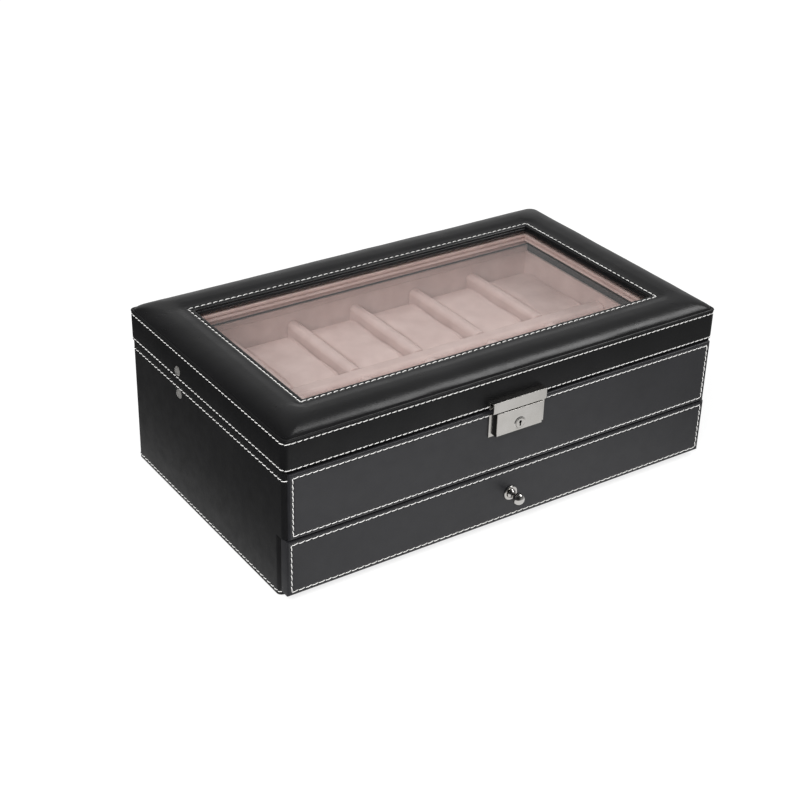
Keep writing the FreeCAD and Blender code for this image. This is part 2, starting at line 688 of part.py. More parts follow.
def glass_retainer():
    """The velvet-covered frame that holds the glass up, with its lining on the lid's walls."""
    frame = plate(LID_INNER_X, LID_INNER_Y, RETAINER_BOTTOM, LID_BOARD_TOP)
    frame = frame.cut(plate(WINDOW_X, WINDOW_Y, RETAINER_BOTTOM, GLASS_BOTTOM)).cut(glass_seat())
    step_x = WINDOW_X + RETAINER_STEP
    step_y = WINDOW_Y + RETAINER_STEP
    frame = frame.cut(plate(step_x, step_y, RETAINER_BOTTOM, GLASS_BOTTOM - RETAINER_LIP))
    inner_x = LID_INNER_X - TURN_IN
    inner_y = LID_INNER_Y - TURN_IN
    side_bottom = LID_BOARD_BOTTOM + LID_RIM_LINING
    sides = plate(LID_INNER_X, LID_INNER_Y, side_bottom, RETAINER_BOTTOM)
    sides = sides.cut(plate(inner_x, LID_INNER_Y, side_bottom, RETAINER_BOTTOM))
    ends = plate(inner_x, LID_INNER_Y, LID_BOARD_BOTTOM, RETAINER_BOTTOM)
    ends = ends.cut(plate(inner_x, inner_y, LID_BOARD_BOTTOM, RETAINER_BOTTOM))
    return frame.fuse(sides).fuse(ends).removeSplitter()


def make_lid():
    """The lid with its padding, leather, glass and velvet frame."""
    board = lid_frame_board()
    walls = lid_walls()
    core = lid_pad_form(LEATHER)
    below = block(-WIDTH, WIDTH, -DEPTH, DEPTH, 0, LID_BOARD_TOP)
    save("lid_frame_board", board)
    save("lid_wall_boards", *walls)
    save("lid_padding", core.cut(below).cut(board).cut(glass_seat()))
    leather = lid_pad_form(0.0).cut(core)
    leather = leather.cut(plate(LID_BOARD_X, LID_BOARD_Y, SEAM_Z, LID_BOARD_TOP)).cut(glass_seat())
    save("lid_top_leather", leather)
    save("lid_skirt_leather", lid_skirt())
    save("glass_pane", plate(GLASS_X, GLASS_Y, GLASS_BOTTOM, GLASS_TOP))
    save("glass_retainer", glass_retainer())


def make_drawer():
    """The drawer: a leather-covered front, a wooden box and its velvet lining."""
    front = block(
        -DRAWER_FRONT_X, DRAWER_FRONT_X, DRAWER_FACE, DRAWER_FRONT_BACK, DRAWER_FRONT_BOTTOM, DRAWER_FRONT_TOP
    )
    face_edges = [edge for edge in front.Edges if edge.BoundBox.YMax < DRAWER_FACE + SAME]
    front = front.makeFillet(DRAWER_FRONT_EDGE_R, face_edges)
    board_x = DRAWER_FRONT_X - PANEL_LEATHER
    board_bottom = DRAWER_FRONT_BOTTOM + PANEL_LEATHER
    board_top = DRAWER_FRONT_TOP - PANEL_LEATHER
    board_face = DRAWER_FACE + PANEL_LEATHER
    board = block(-board_x, board_x, board_face, DRAWER_FRONT_BACK, board_bottom, board_top)
    leather = front.cut(board)
    head_from = (0, DRAWER_FRONT_BACK - KNOB_SCREW_HEAD, KNOB_Z)
    head = rod(KNOB_SCREW_HEAD_R, head_from, (0, DRAWER_FRONT_BACK, KNOB_Z))
    shank = rod(KNOB_SCREW_R, (0, DRAWER_FACE - KNOB_LENGTH / 2, KNOB_Z), (0, DRAWER_FRONT_BACK, KNOB_Z))
    screw = shank.fuse(head)
    save("drawer_front_board", board.cut(screw))
    save("drawer_front_leather", leather.cut(screw))
    inner_x = DRAWER_X - DRAWER_SIDE
    side = block(inner_x, DRAWER_X, DRAWER_FRONT_BACK, DRAWER_BOX_BACK, DRAWER_BOX_BOTTOM, DRAWER_BOX_TOP)
    save("drawer_sides", *both_sides(side))
    inner_back = DRAWER_BOX_BACK - DRAWER_SIDE
    back = block(-inner_x, inner_x, inner_back, DRAWER_BOX_BACK, DRAWER_BOX_BOTTOM, DRAWER_BOX_TOP)
    save("drawer_back", back)
    save(
        "drawer_bottom",
        block(-inner_x, inner_x, DRAWER_FRONT_BACK, inner_back, DRAWER_BOX_BOTTOM, DRAWER_FLOOR),
    )
    lining_top = DRAWER_BOX_TOP - DRAWER_LINING_DROP
    lining = block(-inner_x, inner_x, DRAWER_FRONT_BACK, inner_back, DRAWER_FLOOR, lining_top)
    hollow_x = inner_x - DRAWER_LINING
    hollow_front = DRAWER_FRONT_BACK + DRAWER_LINING
    hollow_back = inner_back - DRAWER_LINING
    hollow_floor = DRAWER_FLOOR + DRAWER_LINING_FLOOR
    hollow = block(-hollow_x, hollow_x, hollow_front, hollow_back, hollow_floor, lining_top)
    save("drawer_lining", lining.cut(hollow))
    make_knob(screw)


def make_knob(screw):
    """The turned knob on its rosette, held by a screw from inside the drawer."""
    foot = ROSETTE
    tip = KNOB_LENGTH
    head = tip - KNOB_HEAD_R
    waist = (foot + head - KNOB_HEAD_R) / 2 + KNOB_WAIST_SHIFT
    dip = KNOB_HEAD_R * math.sin(math.radians(KNOB_NECK_ANGLE))
    shoulder = KNOB_HEAD_R * math.cos(math.radians(KNOB_NECK_ANGLE))
    rise = KNOB_HEAD_R * math.sin(math.radians(KNOB_SIDE_ANGLE))
    mid = KNOB_HEAD_R * math.cos(math.radians(KNOB_SIDE_ANGLE))

    def spot(radius, out):
        return V(radius, DRAWER_FACE - out, KNOB_Z)

    lower = Part.Arc(spot(KNOB_FOOT_R, foot), spot(KNOB_NECK_R, waist), spot(shoulder, head - dip))
    upper = Part.Arc(spot(shoulder, head - dip), spot(mid, head + rise), spot(0.0, tip))
    edges = [
        Part.makeLine(spot(0.0, foot), spot(KNOB_FOOT_R, foot)),
        lower.toShape(),
        upper.toShape(),
        Part.makeLine(spot(0.0, tip), spot(0.0, foot)),
    ]
    knob = Part.Face(Part.Wire(edges)).revolve(spot(0.0, 0.0), V(0, 1, 0), 360)
    save("knob", knob.cut(screw))
    rosette = rod(ROSETTE_R, (0, DRAWER_FACE, KNOB_Z), (0, DRAWER_FACE - ROSETTE, KNOB_Z))
    rim = [edge for edge in rosette.Edges if edge.BoundBox.YMax < DRAWER_FACE - ROSETTE / 2]
    rosette = rosette.makeFillet(ROSETTE / 2, rim)
    save("knob_rosette", rosette.cut(screw))
    save("knob_screw", screw)


def knuckle_spans():
    """The start and end of each knuckle along X, in order from the left of one hinge."""
    pitch = HINGE_LENGTH / KNUCKLES
    spans = []
    for index in range(KNUCKLES):
        start = -HINGE_LENGTH / 2 + index * pitch
        spans.append((start + KNUCKLE_GAP / 2, start + pitch - KNUCKLE_GAP / 2))
    return spans


def hinge_leaf(x, face_y, far_z, near_z, own, bore_r, screw_z):
    """One leaf of the hinge at x: a plate on the wall, its knuckles and its screw holes."""
    low, high = sorted((far_z, near_z))
    leaf = block(x - HINGE_LENGTH / 2, x + HINGE_LENGTH / 2, face_y, face_y + HINGE_LEAF, low, high)
    for index, (start, end) in enumerate(knuckle_spans()):
        if index % 2 == own:
            low, high = sorted((far_z, HINGE_Z))
            web = block(x + start, x + end, face_y, face_y + HINGE_LEAF, low, high)
            barrel = rod(KNUCKLE_R, (x + start, HINGE_Y, HINGE_Z), (x + end, HINGE_Y, HINGE_Z))
            bridge_top = HINGE_Z if far_z < HINGE_Z else HINGE_Z + KNUCKLE_R
            bridge_low = HINGE_Z - KNUCKLE_R if far_z < HINGE_Z else HINGE_Z
            bridge = block(x + start, x + end, face_y, HINGE_Y, bridge_low, bridge_top)
            leaf = leaf.fuse(web).fuse(barrel).fuse(bridge)
    reach = HINGE_LENGTH
    leaf = leaf.cut(rod(bore_r, (x - reach, HINGE_Y, HINGE_Z), (x + reach, HINGE_Y, HINGE_Z)))
    for index in range(HINGE_SCREWS):
        shift = (index - (HINGE_SCREWS - 1) / 2) * HINGE_SCREW_PITCH
        hole = rod(HINGE_SCREW_R, (x + shift, face_y, screw_z), (x + shift, face_y + HINGE_LEAF, screw_z))
        leaf = leaf.cut(hole)
    return leaf.removeSplitter()


def hinge_screws(z, skin_y):
    """Round-headed screws through both leaves on one wall."""
    screws = []
    for x, height in hinge_screw_places(z):
        seat = skin_y + HINGE_LEAF
        shank = rod(HINGE_SCREW_R, (x, skin_y - HINGE_SCREW_LENGTH, height), (x, seat, height))
        head = rod(HINGE_SCREW_HEAD_R, (x, seat, height), (x, seat + HINGE_SCREW_HEAD, height))
        screws.append(shank.fuse(head))
    return screws


def make_hinges():
    """The two butt hinges at the back."""
    case_leaves = []
    lid_leaves = []
    pins = []
    case_far = CASE_LEAF_TOP - HINGE_LEAF_HEIGHT
    lid_far = LID_LEAF_BOTTOM + HINGE_LEAF_HEIGHT
    for x in (-HINGE_X, HINGE_X):
        case_leaves.append(hinge_leaf(x, CASE_Y, case_far, CASE_LEAF_TOP, 0, HINGE_PIN_R, CASE_SCREW_Z))
        lid_bore = HINGE_PIN_R + PIN_CLEARANCE
        lid_leaves.append(hinge_leaf(x, LID_Y, lid_far, LID_LEAF_BOTTOM, 1, lid_bore, LID_SCREW_Z))
        half = HINGE_LENGTH / 2
        pins.append(rod(HINGE_PIN_R, (x - half, HINGE_Y, HINGE_Z), (x + half, HINGE_Y, HINGE_Z)))
    save("hinge_case_leaves", *case_leaves)
    save("hinge_lid_leaves", *lid_leaves)
    save("hinge_pins", *pins)
    save("hinge_case_screws", *hinge_screws(CASE_SCREW_Z, CASE_Y))
    save("hinge_lid_screws", *hinge_screws(LID_SCREW_Z, LID_Y))


def rivet(pivot, arm_x, wall_x):
    """A rivet from the stay's arm through the right wall, with a domed outer face."""
    back = arm_x - ARM_FACE_GAP
    body = pivot_rod(RIVET_BACK_R, pivot, back - RIVET_BACK, back)
    body = body.fuse(pivot_rod(RIVET_R, pivot, back, wall_x))
    collar_from = arm_x + ARM + ARM_FACE_GAP
    body = body.fuse(pivot_rod(RIVET_BACK_R, pivot, collar_from, STAY_SLOT_X))
    ball = (RIVET_FACE_R**2 + RIVET_FACE**2) / (2 * RIVET_FACE)
    dome = Part.makeSphere(ball, V(wall_x + RIVET_FACE - ball, pivot[0], pivot[1]))
    return body.fuse(dome.common(pivot_rod(2 * RIVET_FACE_R, pivot, wall_x, wall_x + RIVET_FACE)))


def stay_arm(start, end, arm_x, start_hole, end_hole):
    """A flat bar with round ends, bored at both of them."""
    across = V(0, end[0] - start[0], end[1] - start[1])
    reach = across.Length
    bar = block(arm_x, arm_x + ARM, 0, reach, -ARM_HALF_WIDTH, ARM_HALF_WIDTH)
    tilt = math.degrees(math.atan2(end[1] - start[1], end[0] - start[0]))
    bar.rotate(V(0, 0, 0), V(1, 0, 0), tilt)
    bar.translate(V(0, start[0], start[1]))
    for pivot in (start, end):
        bar = bar.fuse(pivot_rod(ARM_HALF_WIDTH, pivot, arm_x, arm_x + ARM))
    bar = bar.removeSplitter()
    bar = bar.cut(pivot_rod(start_hole, start, arm_x, arm_x + ARM))
    return bar.cut(pivot_rod(end_hole, end, arm_x, arm_x + ARM))


def elbow_pin():
    """The pin that is fast in the lower arm and carries the upper one."""
    lower_back = LOWER_ARM_X - RIVET_BACK
    upper_end = UPPER_ARM_X + ARM + ARM_FACE_GAP
    pin = pivot_rod(RIVET_R, ELBOW, lower_back, upper_end + RIVET_BACK)
    pin = pin.fuse(pivot_rod(RIVET_BACK_R, ELBOW, lower_back, LOWER_ARM_X))
    pin = pin.fuse(pivot_rod(RIVET_BACK_R, ELBOW, LOWER_ARM_X + ARM, UPPER_ARM_X - ARM_FACE_GAP))
    return pin.fuse(pivot_rod(RIVET_BACK_R, ELBOW, upper_end, upper_end + RIVET_BACK))


def make_stays():
    """The folding stays inside both side walls, with their rivets."""
    running = RIVET_R + PIN_CLEARANCE
    lower = stay_arm(CASE_PIVOT, ELBOW, LOWER_ARM_X, running, RIVET_R)
    upper = stay_arm(LID_PIVOT, ELBOW, UPPER_ARM_X, running, running)
    pin = elbow_pin()
    save("right_lower_arm", lower)
    save("left_lower_arm", mirrored(lower))
    save("right_upper_arm", upper)
    save("left_upper_arm", mirrored(upper))
    save("right_elbow_pin", pin)
    save("left_elbow_pin", mirrored(pin))
    save("case_rivets", *both_sides(rivet(CASE_PIVOT, LOWER_ARM_X, CASE_X)))
    save("lid_rivets", *both_sides(rivet(LID_PIVOT, UPPER_ARM_X, LID_X)))


def lock_plate():
    """The lock's plate with its hollow raised pad."""
    half = LOCK_PLATE_WIDTH / 2
    pad = LOCK_PAD_WIDTH / 2
    wall = LOCK_PAD_WALL
    body = block(-half, half, PLATE_FACE, PANEL_FACE, LOCK_PLATE_BOTTOM, LOCK_PLATE_TOP)
    body = body.fuse(block(-pad, pad, PAD_FACE, PANEL_FACE, LOCK_PAD_BOTTOM, LOCK_PAD_TOP))
    hollow_top = LOCK_PAD_TOP - wall
    hollow_bottom = LOCK_PAD_BOTTOM + wall
    body = body.cut(block(wall - pad, pad - wall, PAD_FACE + wall, PLATE_FACE, hollow_bottom, hollow_top))
    slot = TONGUE_WIDTH / 2 + TONGUE_SLOT_GAP
    body = body.cut(block(-slot, slot, PAD_FACE + wall, PLATE_FACE, hollow_top, LOCK_PAD_TOP))
    bore = LOCK_PLUG_R + PIN_CLEARANCE
    body = body.cut(rod(bore, (0, PAD_FACE, LOCK_PLUG_Z), (0, PAD_FACE + wall, LOCK_PLUG_Z)))
    return body.cut(lock_screw_holes(PLATE_FACE, PANEL_FACE)).removeSplitter()


def lock_plug():
    """The turning plug with its keyway and the stub for the cam."""
    face = PAD_FACE - LOCK_PLUG_PROUD
    plug = rod(LOCK_PLUG_R, (0, face, LOCK_PLUG_Z), (0, CAM_FRONT, LOCK_PLUG_Z))
    plug = plug.fuse(rod(CAM_STUB_R, (0, CAM_FRONT, LOCK_PLUG_Z), (0, CAM_BACK, LOCK_PLUG_Z)))
    low = LOCK_PLUG_Z - KEYWAY_HEIGHT / 2
    high = LOCK_PLUG_Z + KEYWAY_HEIGHT / 2
    plug = plug.cut(block(-KEYWAY / 2, KEYWAY / 2, face, face + KEYWAY_DEPTH, low, high))
    throat = rod(KEYWAY, (0, face, high - KEYWAY), (0, face + KEYWAY_DEPTH, high - KEYWAY))
    return plug.cut(throat)


def ring_sector(inner, outer, start, end):
    """Part of a flat ring round the plug, between two angles seen from the front."""
    middle = (start + end) / 2

    def spot(radius, degrees):
        angle = math.radians(degrees)
        return V(radius * math.cos(angle), CAM_FRONT, LOCK_PLUG_Z + radius * math.sin(angle))

    edges = [
        Part.Arc(spot(outer, start), spot(outer, middle), spot(outer, end)).toShape(),
        Part.makeLine(spot(outer, end), spot(inner, end)),
        Part.Arc(spot(inner, end), spot(inner, middle), spot(inner, start)).toShape(),
        Part.makeLine(spot(inner, start), spot(outer, start)),
    ]
    return Part.Face(Part.Wire(edges)).extrude(V(0, CAM, 0))


def lock_cam():
    """The hook-shaped cam that turns over the catch's lip."""
    hub = rod(CAM_HUB_R, (0, CAM_FRONT, LOCK_PLUG_Z), (0, CAM_BACK, LOCK_PLUG_Z))
    arm = ring_sector(CAM_STUB_R, CAM_HOOK_OUT_R, CAM_HOOK_TO, CAM_ARM_TO)
    hook = ring_sector(CAM_HOOK_IN_R, CAM_HOOK_OUT_R, CAM_HOOK_FROM, CAM_HOOK_TO)
    cam = hub.fuse(arm).fuse(hook).removeSplitter()
    return cam.cut(rod(CAM_STUB_R, (0, CAM_FRONT, LOCK_PLUG_Z), (0, CAM_BACK, LOCK_PLUG_Z)))


def catch_plate():
    """The folded catch on the lid, with its tongue and lip that reach into the lock."""
    half = CATCH_WIDTH / 2
    sheet = CATCH_SHEET
    band = block(-half, half, CATCH_FACE, CATCH_FACE + sheet, CATCH_BOTTOM, CATCH_TOP)
    flange = block(-half, half, CATCH_FACE, -LID_Y, CATCH_TOP - sheet, CATCH_TOP)
    fixing = block(-half, half, -LID_Y - sheet, -LID_Y, LID_RIM, CATCH_TOP)
    tongue = TONGUE_WIDTH / 2
    strip = block(-tongue, tongue, TONGUE_FRONT, TONGUE_BACK, TONGUE_BOTTOM, CATCH_TOP)
    lip_top = TONGUE_BOTTOM + LIP_HEIGHT
    lip = block(-LIP_WIDTH / 2, LIP_WIDTH / 2, TONGUE_FRONT, CAM_BACK, TONGUE_BOTTOM, lip_top)
    body = band.fuse(flange).fuse(fixing).fuse(strip).fuse(lip)
    for side in (-1, 1):
        body = body.fuse(catch_stud(side))
    return body.removeSplitter()


def lock_screws():
    """Two screws from inside the case front into the lock plate."""
    screws = []
    for side in (-1, 1):
        x = side * LOCK_SCREW_X
        shank = rod(LOCK_SCREW_R, (x, PLATE_FACE, LOCK_PLUG_Z), (x, -INNER_Y, LOCK_PLUG_Z))
        head_from = (x, -INNER_Y - LOCK_SCREW_HEAD, LOCK_PLUG_Z)
        screws.append(shank.fuse(rod(LOCK_SCREW_HEAD_R, head_from, (x, -INNER_Y, LOCK_PLUG_Z))))
    return screws


def make_lock():
    """The lock on the case front and the catch on the lid."""
    save("lock_plate", lock_plate())
    save("lock_screws", *lock_screws())
    save("lock_plug", lock_plug())
    save("lock_cam", lock_cam())
    save("catch_plate", catch_plate())


def main():
    os.makedirs("parts", exist_ok=True)
    make_case_boards()
    make_front_panel()
    make_watch_tray()
    make_lid()
    make_drawer()
    make_hinges()
    make_stays()
    make_lock()
    print("lid hinge", HINGE_Y, HINGE_Z)
    print("case pivot", CASE_PIVOT, "lid pivot", LID_PIVOT, "elbow", ELBOW)


main()
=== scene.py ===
import bmesh
import bpy
import json
import math
from mathutils import Matrix, Vector, noise


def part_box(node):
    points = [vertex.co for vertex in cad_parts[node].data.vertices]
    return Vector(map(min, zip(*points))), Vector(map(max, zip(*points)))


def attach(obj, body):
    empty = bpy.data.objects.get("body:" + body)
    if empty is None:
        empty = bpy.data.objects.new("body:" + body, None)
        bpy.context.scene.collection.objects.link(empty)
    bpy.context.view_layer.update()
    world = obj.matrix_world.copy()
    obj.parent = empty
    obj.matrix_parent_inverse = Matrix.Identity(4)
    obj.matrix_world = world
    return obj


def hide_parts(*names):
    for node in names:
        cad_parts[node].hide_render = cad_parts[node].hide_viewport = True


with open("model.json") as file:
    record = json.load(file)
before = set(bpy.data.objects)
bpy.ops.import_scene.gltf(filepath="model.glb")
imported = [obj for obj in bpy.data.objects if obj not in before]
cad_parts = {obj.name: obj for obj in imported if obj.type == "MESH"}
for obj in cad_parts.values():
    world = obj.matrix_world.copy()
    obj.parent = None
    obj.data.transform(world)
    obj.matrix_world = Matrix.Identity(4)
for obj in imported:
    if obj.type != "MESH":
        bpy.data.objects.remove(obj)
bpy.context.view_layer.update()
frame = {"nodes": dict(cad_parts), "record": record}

# A watch box in black imitation leather: padded lid with a window, velvet inside, a drawer below.
# Sizes are in millimetres; meshes are made in metres in the frame of the construction.
MM = 0.001

# Camera, fitted to the photograph of 800 by 800 pixels
PHOTO_SIDE = 800.0
FOCAL_PIXELS = 1638.43
CAMERA_PLACE = (-549.5, -772.25, 575.46)
CAMERA_TURN = (60.606, -1.449, -33.729)
SENSOR = 36.0

# Studio light: what glossy surfaces see of the room and of the floor, and the plain levels
ROOM_LEFT = 0.12
ROOM_RIGHT = 0.85
ROOM_FAR_RIGHT = 0.65
ROOM_FRONT = 0.5
ROOM_ABOVE = 0.4
TABLE_LEFT = 0.08
TABLE_FRONT = 0.75
TABLE_RIGHT = 0.5
WORLD_LIGHT = 0.45
FLOOR_GLOW = 0.76
FLOOR_HALF = 6.0

# Lid
SEAM_FOLD = 2.6
SEAM_CREASE = 1.22
PAD_START_ANGLE = 27.0
SHOULDER_WIDTH = 15.0
DISH_FAR = 13.0
DISH_NEAR = 5.0
DISH_DROP = 0.8
PAD_END_ROLL = 0.5
WINDOW_ROW = 3.3
EDGING_WIDTH = 1.7
EDGING_DROP = 0.35
EDGING_ROLL = 1.0
SLEEVE_BULGE = 1.0
GLASS_SEAT = 8.0
BOARD_GAP = 0.05
BOARD_SET_BACK = 1.0
EDGING_CORNER_R = 0.3
LID_CORNER_R = 4.0
RIM_ROLL = 0.9
SKIRT_BOTTOM_ROW = 1.5
SKIRT_TOP_ROW = 0.1
FOLD_R = 0.85
FOLD_RISE = 1.95
SKIRT_EDGE_RISE = 1.1
SKIRT_EDGE_R = 0.45

# Nose of the case's sides, beside the drawer front
NOSE_R = 3.5
NOSE_GAP = 0.5
NOSE_TURN = 56

# Lock: the raised pad on its plate
PAD_HALF_X = 17.2
PAD_RISE = 3.3
PAD_FOOT = 1.0
# The sleeve round the pad is a dark piece that stands for its shade: painted shade.
PAD_SHADE_SLEEVE = 0.3
PAD_BEVEL = 0.9

# Stitches
ALL_STITCHES = 0.99999
THREAD = 0.52
STITCH_SHARE = 0.88
STITCH_SLANT = 8.0
STITCH_RISE = 0.32
GROOVE_DEPTH = 0.3
GROOVE_HALF = 1.1
PUCKER = 0.07
SKIRT_PITCH = 3.95
CASE_PITCH = 4.3
WINDOW_PITCH = 4.38
PANEL_PITCH_X = 4.26
PANEL_PITCH_Z = 3.9
DRAWER_PITCH_X = 4.58
DRAWER_PITCH_Z = 3.9
CASE_TOP_ROW = 5.1
CASE_BOTTOM_ROW = 3.4
PANEL_ROW = 2.6
DRAWER_ROW = 2.7

# Front panels
PANEL_SKIN = 0.75
PANEL_ROLL = 1.3
PANEL_BELLY = 0.25

# Watch pillows
PILLOW_SLACK = 0.7
PILLOW_VOXEL = 1.6
PILLOW_STUFFING = 4.0
PILLOW_MOST = 1.6
PILLOW_SEAMS = (2.2, 4.0)
PILLOW_SEAM_HALF = 0.8
PILLOW_SEAM_DEPTH = 1.7
PILLOW_CROWN = 0.5


def mm(*values):
    """A point given in millimetres."""
    return Vector(values) * MM


def in_mm(node):
    """The lowest and highest corner of a node of the construction, in millimetres."""
    low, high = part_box(node)
    return low / MM, high / MM


# Materials

def linear(code):
    """A colour written as sRGB hex, as linear light."""
    channels = []
    for start in (1, 3, 5):
        value = int(code[start:start + 2], 16) / 255
        channels.append(value / 12.92 if value <= 0.04045 else ((value + 0.055) / 1.055) ** 2.4)
    return (*channels, 1.0)


def per_mm(size):
    """The scale of a pattern whose features are so many millimetres apart."""
    return 1 / (size * MM)


def add(tree, kind, settings=None, **inputs):
    """One node, with its settings, and its inputs given as values or as sockets to link."""
    node = tree.nodes.new(kind)
    for name, value in (settings or {}).items():
        setattr(node, name, value)
    for name, value in inputs.items():
        socket = node.inputs[int(name[1:])] if name[1:].isdigit() else node.inputs[name.replace("_", " ")]
        if isinstance(value, bpy.types.NodeSocket):
            tree.links.new(value, socket)
        else:
            socket.default_value = value
    return node


def new_material(name):
    """An empty material, its node tree, its surface shader and the object coordinates."""
    material = bpy.data.materials.new(name)
    material.use_nodes = True
    tree = material.node_tree
    tree.nodes.clear()
    shader = add(tree, "ShaderNodeBsdfPrincipled")
    output = add(tree, "ShaderNodeOutputMaterial")
    tree.links.new(shader.outputs[0], output.inputs["Surface"])
    place = add(tree, "ShaderNodeTexCoord").outputs["Object"]
    return material, tree, shader, place


def cloudy(tree, place, size, detail=3.0, roughness=0.55):
    """A noise whose clouds are so many millimetres apart."""
    found = add(tree, "ShaderNodeTexNoise", Vector=place, Scale=per_mm(size), Detail=detail, Roughness=roughness)
    return found.outputs["Fac"]


def spread(tree, value, low, high):
    """A noise turned to a range of values."""
    ranged = add(tree, "ShaderNodeMapRange", Value=value, From_Min=0.3, From_Max=0.7, To_Min=low, To_Max=high)
    return ranged.outputs["Result"]


def two_tone(tree, value, first, second):
    """A colour between two, by a noise."""
    share = spread(tree, value, 0.0, 1.0)
    mixed = add(tree, "ShaderNodeMix", {"data_type": "RGBA"}, _0=share, _6=linear(first), _7=linear(second))
    return mixed.outputs[2]


def relief(tree, height, depth, normal=None):
    """A bump of so many millimetres, on top of another if one is given."""
    bump = add(tree, "ShaderNodeBump", Height=height, Distance=depth * MM, Strength=1.0)
    if normal is not None:
        tree.links.new(normal, bump.inputs["Normal"])
    return bump.outputs["Normal"]


def imitation_leather(name, dark, light, low, high, shine):
    """Polyurethane on a woven backing, pressed with a fine grain: a deep black with a soft, slightly uneven gloss."""
    material, tree, shader, place = new_material(name)
    blotches = cloudy(tree, place, 45.0)
    colour = two_tone(tree, blotches, dark, light)
    tree.links.new(colour, shader.inputs["Base Color"])
    pebbles = add(tree, "ShaderNodeTexVoronoi", {"feature": "SMOOTH_F1"}, Vector=place, Scale=per_mm(1.1))
    waves = relief(tree, cloudy(tree, place, 28.0, 2.0), 0.2)
    grain = relief(tree, pebbles.outputs["Distance"], 0.03, waves)
    tree.links.new(grain, shader.inputs["Normal"])
    gloss = spread(tree, cloudy(tree, place, 9.0), low, high)
    tree.links.new(gloss, shader.inputs["Roughness"])
    shader.inputs["Specular IOR Level"].default_value = shine
    return material


def velvet(name, dark, light):
    """Short-pile velvet: matt, paler where the pile leans away, with a sheen at the edges of each pad."""
    material, tree, shader, place = new_material(name)
    leaning = cloudy(tree, place, 14.0)
    colour = two_tone(tree, leaning, dark, light)
    tree.links.new(colour, shader.inputs["Base Color"])
    pile = cloudy(tree, place, 0.7, 4.0, 0.7)
    tree.links.new(relief(tree, pile, 0.03), shader.inputs["Normal"])
    tree.links.new(spread(tree, leaning, 0.82, 0.95), shader.inputs["Roughness"])
    shader.inputs["Sheen Weight"].default_value = 0.25
    shader.inputs["Sheen Roughness"].default_value = 0.4
    shader.inputs["Sheen Tint"].default_value = linear("#ead6d0")
    shader.inputs["Specular IOR Level"].default_value = 0.2
    return material


def metal(name, dark, light, low, high, stretch, scratch, mirror=1.0):
    """A plated metal: colour clouded between two shades, with drawn lines along X as long as stretch times their width.
    A mirror below one mixes a matt share of the pale base colour in, which lightens the part: painted light."""
    material, tree, shader, place = new_material(name)
    turned = add(tree, "ShaderNodeMapping", Vector=place, Scale=(1.0 / stretch, 1.0, 1.0)).outputs["Vector"]
    lines = cloudy(tree, turned, 0.25, 2.0)
    tree.links.new(two_tone(tree, cloudy(tree, place, 12.0), dark, light), shader.inputs["Base Color"])
    tree.links.new(spread(tree, lines, low, high), shader.inputs["Roughness"])
    tree.links.new(relief(tree, lines, scratch), shader.inputs["Normal"])
    shader.inputs["Metallic"].default_value = mirror
    return material


def sewing_thread():
    """Twisted polyester thread: off-white, dull and ribbed by its twist, with painted shade that greys the hollows
    between its strands.
    """
    material, tree, shader, place = new_material("polyester_thread")
    twist_relief_and_shade = cloudy(tree, place, 0.6, 2.0)
    # One noise sets both the colour and the twist relief, so the thread is greyer in the hollows: painted shade.
    tree.links.new(two_tone(tree, twist_relief_and_shade, "#e2e1de", "#fbfaf8"), shader.inputs["Base Color"])
    tree.links.new(relief(tree, twist_relief_and_shade, 0.1), shader.inputs["Normal"])
    shader.inputs["Roughness"].default_value = 0.7
    return material


def window_glass():
    """Float glass: clear, with the mirror that its two faces make, stronger at a flat angle."""
    material, tree, shader, place = new_material("float_glass")
    flatness = add(tree, "ShaderNodeLayerWeight", Blend=0.5).outputs["Facing"]
    rising = add(tree, "ShaderNodeMath", {"operation": "POWER"}, _0=flatness, _1=5.0).outputs[0]
    seen = add(tree, "ShaderNodeMapRange", Value=rising, To_Min=0.08, To_Max=1.0).outputs["Result"]
    tree.links.new(seen, shader.inputs["Alpha"])
    tree.links.new(spread(tree, cloudy(tree, place, 30.0), 0.02, 0.05), shader.inputs["Roughness"])
    shader.inputs["Metallic"].default_value = 1.0
    shader.inputs["Base Color"].default_value = linear("#f6f7f7")
    return material


def pressed_fibre(name, dark, light, fibre, roughness):
    """Board, felt or foam: a matt mass of fibres or cells, mottled between two shades."""
    material, tree, shader, place = new_material(name)
    flecks = cloudy(tree, place, fibre, 5.0, 0.7)
    tree.links.new(two_tone(tree, flecks, dark, light), shader.inputs["Base Color"])
    tree.links.new(relief(tree, flecks, fibre / 8), shader.inputs["Normal"])
    shader.inputs["Roughness"].default_value = roughness
    return material


LID_LEATHER = imitation_leather("imitation_leather_lid", "#101011", "#161617", 0.27, 0.34, 0.5)
BAND_LEATHER = imitation_leather("imitation_leather_band", "#0f0f10", "#141415", 0.36, 0.46, 0.22)
CASE_LEATHER = imitation_leather("imitation_leather_case", "#101011", "#161617", 0.36, 0.46, 0.4)
# The panels' leather is the same black leather given a lighter colour: painted light, so the front faces read brighter.
PANEL_LEATHER_PAINTED_LIGHT = imitation_leather("imitation_leather_panels_painted_light", "#1f1f22", "#252528", 0.36, 0.46, 0.55)
VELVET = velvet("short_pile_velvet", "#cbb4ae", "#d8c3bd")
THREAD_WHITE = sewing_thread()
SATIN_NICKEL = metal("satin_nickel_plate", "#d2cfca", "#dbd8d4", 0.2, 0.26, 40.0, 0.0003)
POLISHED_NICKEL = metal("polished_nickel_plate", "#d6d3cf", "#dfddda", 0.05, 0.09, 3.0, 0.0002)
# The rivets' nickel is a lighter, partly matt copy of the polished nickel: painted light.
RIVET_NICKEL_PAINTED_LIGHT = metal("rivet_nickel_painted_light", "#dad7d3", "#e4e2de", 0.12, 0.2, 3.0, 0.0002, mirror=0.85)
